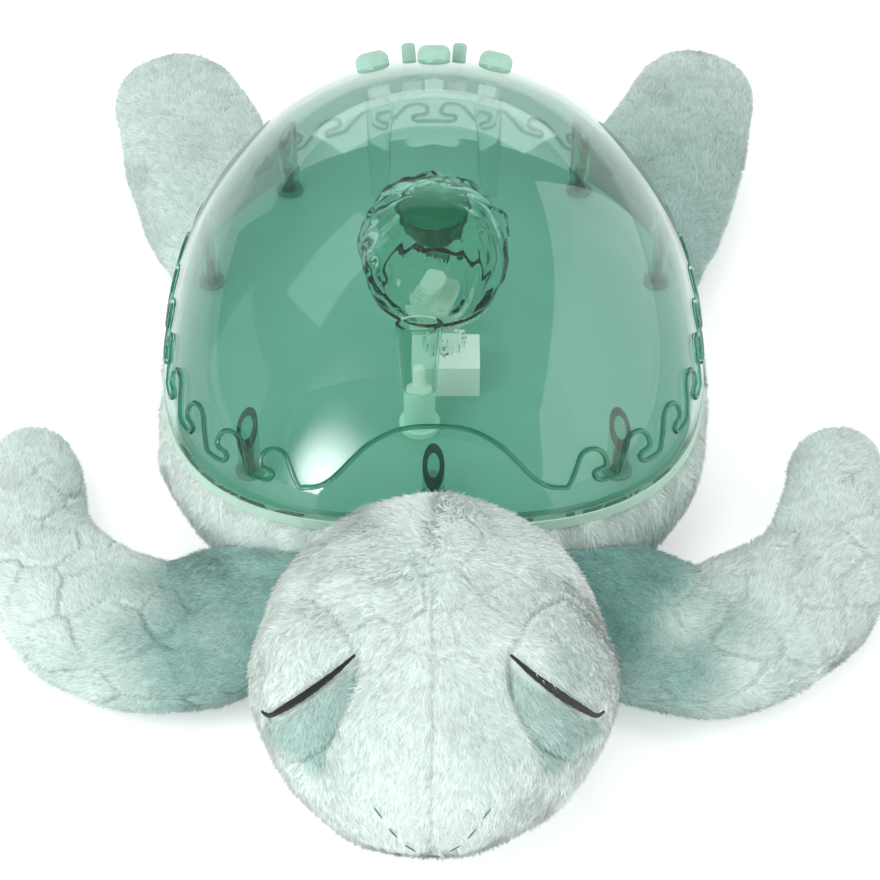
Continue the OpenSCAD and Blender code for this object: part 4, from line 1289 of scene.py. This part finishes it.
def make_head():
    work = bmesh.new()
    bmesh.ops.create_icosphere(work, subdivisions=7, radius=1)
    d = unit(np.array([v.co[:] for v in work.verts]))
    faces = [[v.index for v in face.verts] for face in work.faces]
    work.free()
    points = head_surface(d)
    limit = front_of_body(points[:, 0], points[:, 2])
    pressed = soft_step(-3.0, 0.0, points[:, 1] - limit)
    points[:, 1] = np.minimum(points[:, 1], limit)
    folded = folded_over(d)
    patch_gap = nearest_on_path(folded, face_path(EYE_PATCH))
    line_gap = nearest_on_path(folded, face_path(EYE_LINE))
    crown_gap = nearest_on_path(d, face_path(CROWN_SEAM, 4))
    turn = np.degrees(np.arctan2(folded[:, 0], -d[:, 1]))
    rise = np.degrees(np.arcsin(np.clip(d[:, 2], -1, 1)))
    patch_seam = PATCH_SEAM * (1 - soft_step(0.4, 1.4, patch_gap))
    seam = np.maximum(patch_seam, CROWN_SEAM_PRESS * (1 - soft_step(0.3, 1.2, crown_gap)))
    lumps = 0.7 * smooth_noise(points, 38, 42) + 0.3 * smooth_noise(points, 15, 43)
    on_lid = inside_patch(folded)
    lid = LID_SWELL * np.where(on_lid, soft_step(0, 9, patch_gap), 0)
    crown = scale_lines(points[:, 1] - points[:, 1].min(), points[:, 0], CROWN_SCALES, 45)
    crown = 0.3 * crown * soft_step(44, 60, rise) * np.where(on_lid, 0, soft_step(1, 5, patch_gap))
    groove = np.maximum(seam, crown)
    relief = lumps + lid - GROOVE_DEPTH * groove - 0.8 * (1 - soft_step(1.5, 4.0, line_gap))
    stand = (1 - pressed) * soft_step(1.0, 4.0, points[:, 2]) * soft_step(1.2, 2.0, line_gap)
    numbers = {"tint": head_teal_and_shade(d, points, turn, rise), "groove": groove, "pile": stand}
    behind = soft_step(-0.15, 0.3, d[:, 1])
    flow = np.stack([(0.35 + 2.2 * behind) * d[:, 0], -1 + 0.65 * behind, np.full(len(d), -0.45)], axis=1)
    return stuffed("head_cover", "plush_head", points, faces, relief * (1 - pressed), numbers, flow)


grow_pile(make_head(), per_mm=2.1, length=2.7, seed=51)

# %% [markdown]
# ## The flippers
# A flipper is swept along a curved spine with an oval section, thinner towards a rounded end and flat where
# it lies on the floor. The scales run along it and round it, and fade out towards the body.

# %% Flipper formulas
FRONT_LIMB = {
    "anchor": (52.0, -92.0), "thick": 18.0, "taper": 0.4, "lift": 0.0, "tip": 0.1, "grid": (260, 18, 170),
    "spine": [
        (-26, 14, 22), (6, 0, 26), (30, -10, 26), (52, -1, 27), (72, 20, 22), (80, 48, 17), (84, 82, 15),
    ],
}
REAR_LIMB = {
    "anchor": (60.0, 58.0), "thick": 20.0, "taper": 0.35, "lift": 12.0, "tip": 0.16, "grid": (170, 20, 170),
    "spine": [(-6, -12, 24), (14, 30, 28), (27, 68, 28), (36, 94, 24), (42, 118, 19)],
}
SPINE_STEP = 0.01
TIP_BEND = 87
HEAD_CLEAR = 1.015


def limb_grid(limb):
    rows, tip_rows, turns = limb["grid"]
    spine = limb["spine"]
    tip = limb["tip"]
    bend = np.radians(np.linspace(0, TIP_BEND, tip_rows + 1)[1:])
    u = np.concatenate([np.linspace(0, 1 - tip, rows), 1 - tip + tip * np.sin(bend)])
    p = curve_at(spine, u)
    run = curve_at(spine, np.minimum(1, u + SPINE_STEP)) - curve_at(spine, np.maximum(0, u - SPINE_STEP))
    run = unit(run[:, :2])
    cap = np.concatenate([np.ones(rows), np.cos(bend)])
    deep = limb["thick"] * (1 - limb["taper"] * u)
    middle = deep - 0.5 + limb["lift"] * u ** 2
    a = turn_angles(turns)
    side = (p[:, 2] * cap)[:, None] * np.cos(a)[None, :]
    x = p[:, 0][:, None] + run[:, 1][:, None] * side + limb["anchor"][0]
    y = p[:, 1][:, None] - run[:, 0][:, None] * side + limb["anchor"][1] + SHELL_Y
    z = np.maximum(0, middle[:, None] + (deep * cap)[:, None] * np.sin(a)[None, :])
    grid = np.stack([x, y, z], axis=-1)
    points = np.concatenate([grid.reshape(-1, 3), [grid[0].mean(axis=0), grid[-1].mean(axis=0)]])
    arc = run_along(p[:, :2])
    along = np.append(np.repeat(arc, turns), [0, arc[-1]])
    share = np.append(np.repeat(u, turns), [0, 1])
    around = np.append(np.tile(a, len(u)), [0, 0])
    girth = np.append(np.repeat((p[:, 2] + deep) / 2 * cap, turns), [1, 1])
    way = np.concatenate([np.repeat(run, turns, axis=0), run[:1], run[-1:]])
    way = np.concatenate([way, np.full((len(way), 1), -0.15)], axis=1)
    return points, capped_faces(len(u), turns), along, share, around, girth, way


def pushed_out(share):
    return np.where(share < 1, 1 / np.maximum(share, 0.2), 1)


def clear_of_neighbours(points):
    x = points[:, 0]
    y = points[:, 1] - SHELL_Y
    share = rim_share(x, y, body_grow(np.clip(points[:, 2] / BODY_TOP, 0, 1)) + BODY_CLEAR)
    push = pushed_out(share)
    out = np.stack([x * push, y * push + SHELL_Y, points[:, 2]], axis=1)
    middle = np.array([0, HEAD_Y + SHELL_Y, HEAD_Z])
    half = np.array([HEAD_HALF_W, HEAD_REAR, HEAD_HALF_H]) * HEAD_CLEAR
    d = (out - middle) / half
    inside = np.linalg.norm(d, axis=1)
    out = middle + d * pushed_out(inside)[:, None] * half
    return out, np.maximum(1 - soft_step(1.0, 1.03, share), 1 - soft_step(1.0, 1.04, inside))


# %% Flipper skins
SCALE_SIZE = (12.5, 19.0)
SEAM_TURNS = np.radians((335, 205))
# Every flipper is sprayed teal, but the right-hand ones get it deeper: that extra is painted shade on the
# side away from the lamps.
FLIPPERS = [
    ("front_right", FRONT_LIMB, 1, 61, (0.16, 0.5), 0.85, 0.07, 0.45),
    ("front_left", FRONT_LIMB, -1, 71, (0.2, 0.62), 0.74, 0.07, 0.7),
    ("rear_right", REAR_LIMB, 1, 81, (0.2, 1.0), 0.42, 0.2, 0.3),
    ("rear_left", REAR_LIMB, -1, 91, (0.2, 1.0), 0.08, 0.2, 0.3),
]


def make_flipper(name, limb, side, seed, teal_reach, teal_depth, teal_low, press):
    points, faces, along, share, around, girth, way = limb_grid(limb)
    points, pressed = clear_of_neighbours(points)
    across = (np.mod(around + np.pi / 2, 2 * np.pi) - np.pi) * girth
    lines = scale_lines(along, across, SCALE_SIZE, seed)
    lines = lines * soft_step(0.16, 0.36, share) * (1 - 0.5 * soft_step(0.8, 1.0, share))
    lines = lines * soft_step(-0.75, 0.1, smooth_noise(points, 26, seed + 3))
    low_edge = np.minimum(*[np.abs(around - turn) for turn in SEAM_TURNS]) * girth
    groove = np.maximum(press * lines, 0.7 * (1 - soft_step(0.4, 1.5, low_edge)))
    teal_share = teal_depth * (1 - soft_step(*teal_reach, share + 0.05 * smooth_noise(points, 30, seed)))
    teal_share = np.clip(teal_share + teal_low + 0.14 * soft_step(16, 3, points[:, 2]), 0, 1)
    relief = 0.8 * smooth_noise(points, 36, seed + 1) - GROOVE_DEPTH * groove
    relief = relief + 0.8 * (1 - soft_step(0.05, 0.4, share)) * smooth_noise(points, 13, seed + 2)
    relief = relief * (1 - pressed)
    stand = (1 - pressed) * soft_step(0.8, 3.0, points[:, 2])
    points = points * (side, 1, 1)
    way = way * (side, 1, 1)
    numbers = {"tint": teal_share, "groove": groove, "pile": stand}
    return stuffed(name + "_cover", name + "_flipper", points, faces, relief, numbers, way)


flippers = [make_flipper(*facts) for facts in FLIPPERS]
for number, flipper in enumerate(flippers):
    grow_pile(flipper, per_mm=2.5, length=2.3, seed=101 + number)

# %% [markdown]
# ## Sewn face
# The shut eyes are satin stitch: short threads side by side across a curve, longer in the middle of the line
# than at its ends. The mouth is a row of single stitches. Both are threads at points, so one node tree makes
# them: it lays a plump thread at each point, along the direction that the point carries.

# %% Node tree of the threads
def build_threads():
    group, given = geometry_group("sewn_threads", {"Thread radius": ("Float", 0.0003)})
    ball_sizes = {"Segments": 7, "Rings": 6, "Radius": 1}
    thread = add(group, "GeometryNodeMeshUVSphere", ball_sizes).outputs["Mesh"]
    size = combine(group, given["Thread radius"], given["Thread radius"], named_value(group, "reach"))
    along = named_value(group, "along", "FLOAT_VECTOR")
    threads = laid_on_points(group, given["Geometry"], thread, along, size)
    paint_result(group, given, through(group, threads, "RealizeInstances", "SetShadeSmooth"))
    return group


sewn_threads = build_threads()
eye_thread = moulded("eye_thread", (34, 34, 39), (22, 22, 27), 0.5, grain=6000.0, bump=0.3)
mouth_thread = moulded("mouth_thread", (96, 128, 124), (76, 108, 104), 0.6, grain=6000.0, bump=0.3)
print("threads:", eye_thread.name, mouth_thread.name)

# %% Threads of the eyes and the mouth
THREAD_STAND = 1.9
EYE_PITCH = 0.34
EYE_THREAD_R = 0.42
MOUTH_PITCH = 8.4
MOUTH_REACH = 2.4
MOUTH_THREAD_R = 0.3


def thread_piece(name, places, along, reach, radius, material):
    mesh = bpy.data.meshes.new(name)
    mesh.from_pydata((places * MM).tolist(), [], [])
    store(mesh, "along", "FLOAT_VECTOR", along)
    store(mesh, "reach", "FLOAT", reach * MM)
    piece = new_object(name, mesh, None)
    use_group(piece, sewn_threads, {"Thread radius": radius * MM, "Material": material})
    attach(piece, "turtle")


def even_path(turn_rise, pitch):
    d = face_path(turn_rise, 30)
    places = head_surface(d, THREAD_STAND)
    run = run_along(places)
    stops = np.arange(pitch / 2, run[-1], pitch)
    places = along_line(stops, run, places)
    d = along_line(stops, run, d)
    normal = unit(d / np.array([HEAD_HALF_W, HEAD_FRONT, HEAD_HALF_H]))
    return places, normal, unit(np.gradient(places, axis=0)), stops / run[-1]


def satin_eye(name, turn_rise):
    places, normal, tangent, share = even_path(turn_rise, EYE_PITCH)
    across = np.cross(tangent, normal) + 0.35 * tangent
    reach = 0.2 + 1.15 * np.sin(np.pi * np.clip(0.04 + 0.93 * share, 0, 1)) ** 0.8
    rng = np.random.default_rng(7)
    reach = reach * rng.uniform(0.9, 1.1, len(reach))
    thread_piece(name, places, across, reach, EYE_THREAD_R, eye_thread)


satin_eye("right_eye_stitch", EYE_LINE)
satin_eye("left_eye_stitch", [(-turn, rise) for turn, rise in EYE_LINE])
places, normal, tangent, share = even_path(MOUTH, MOUTH_PITCH)
mouth_reach = np.full(len(places), MOUTH_REACH)
thread_piece("mouth_stitch", places, tangent, mouth_reach, MOUTH_THREAD_R, mouth_thread)
print("mouth stitches:", len(places))
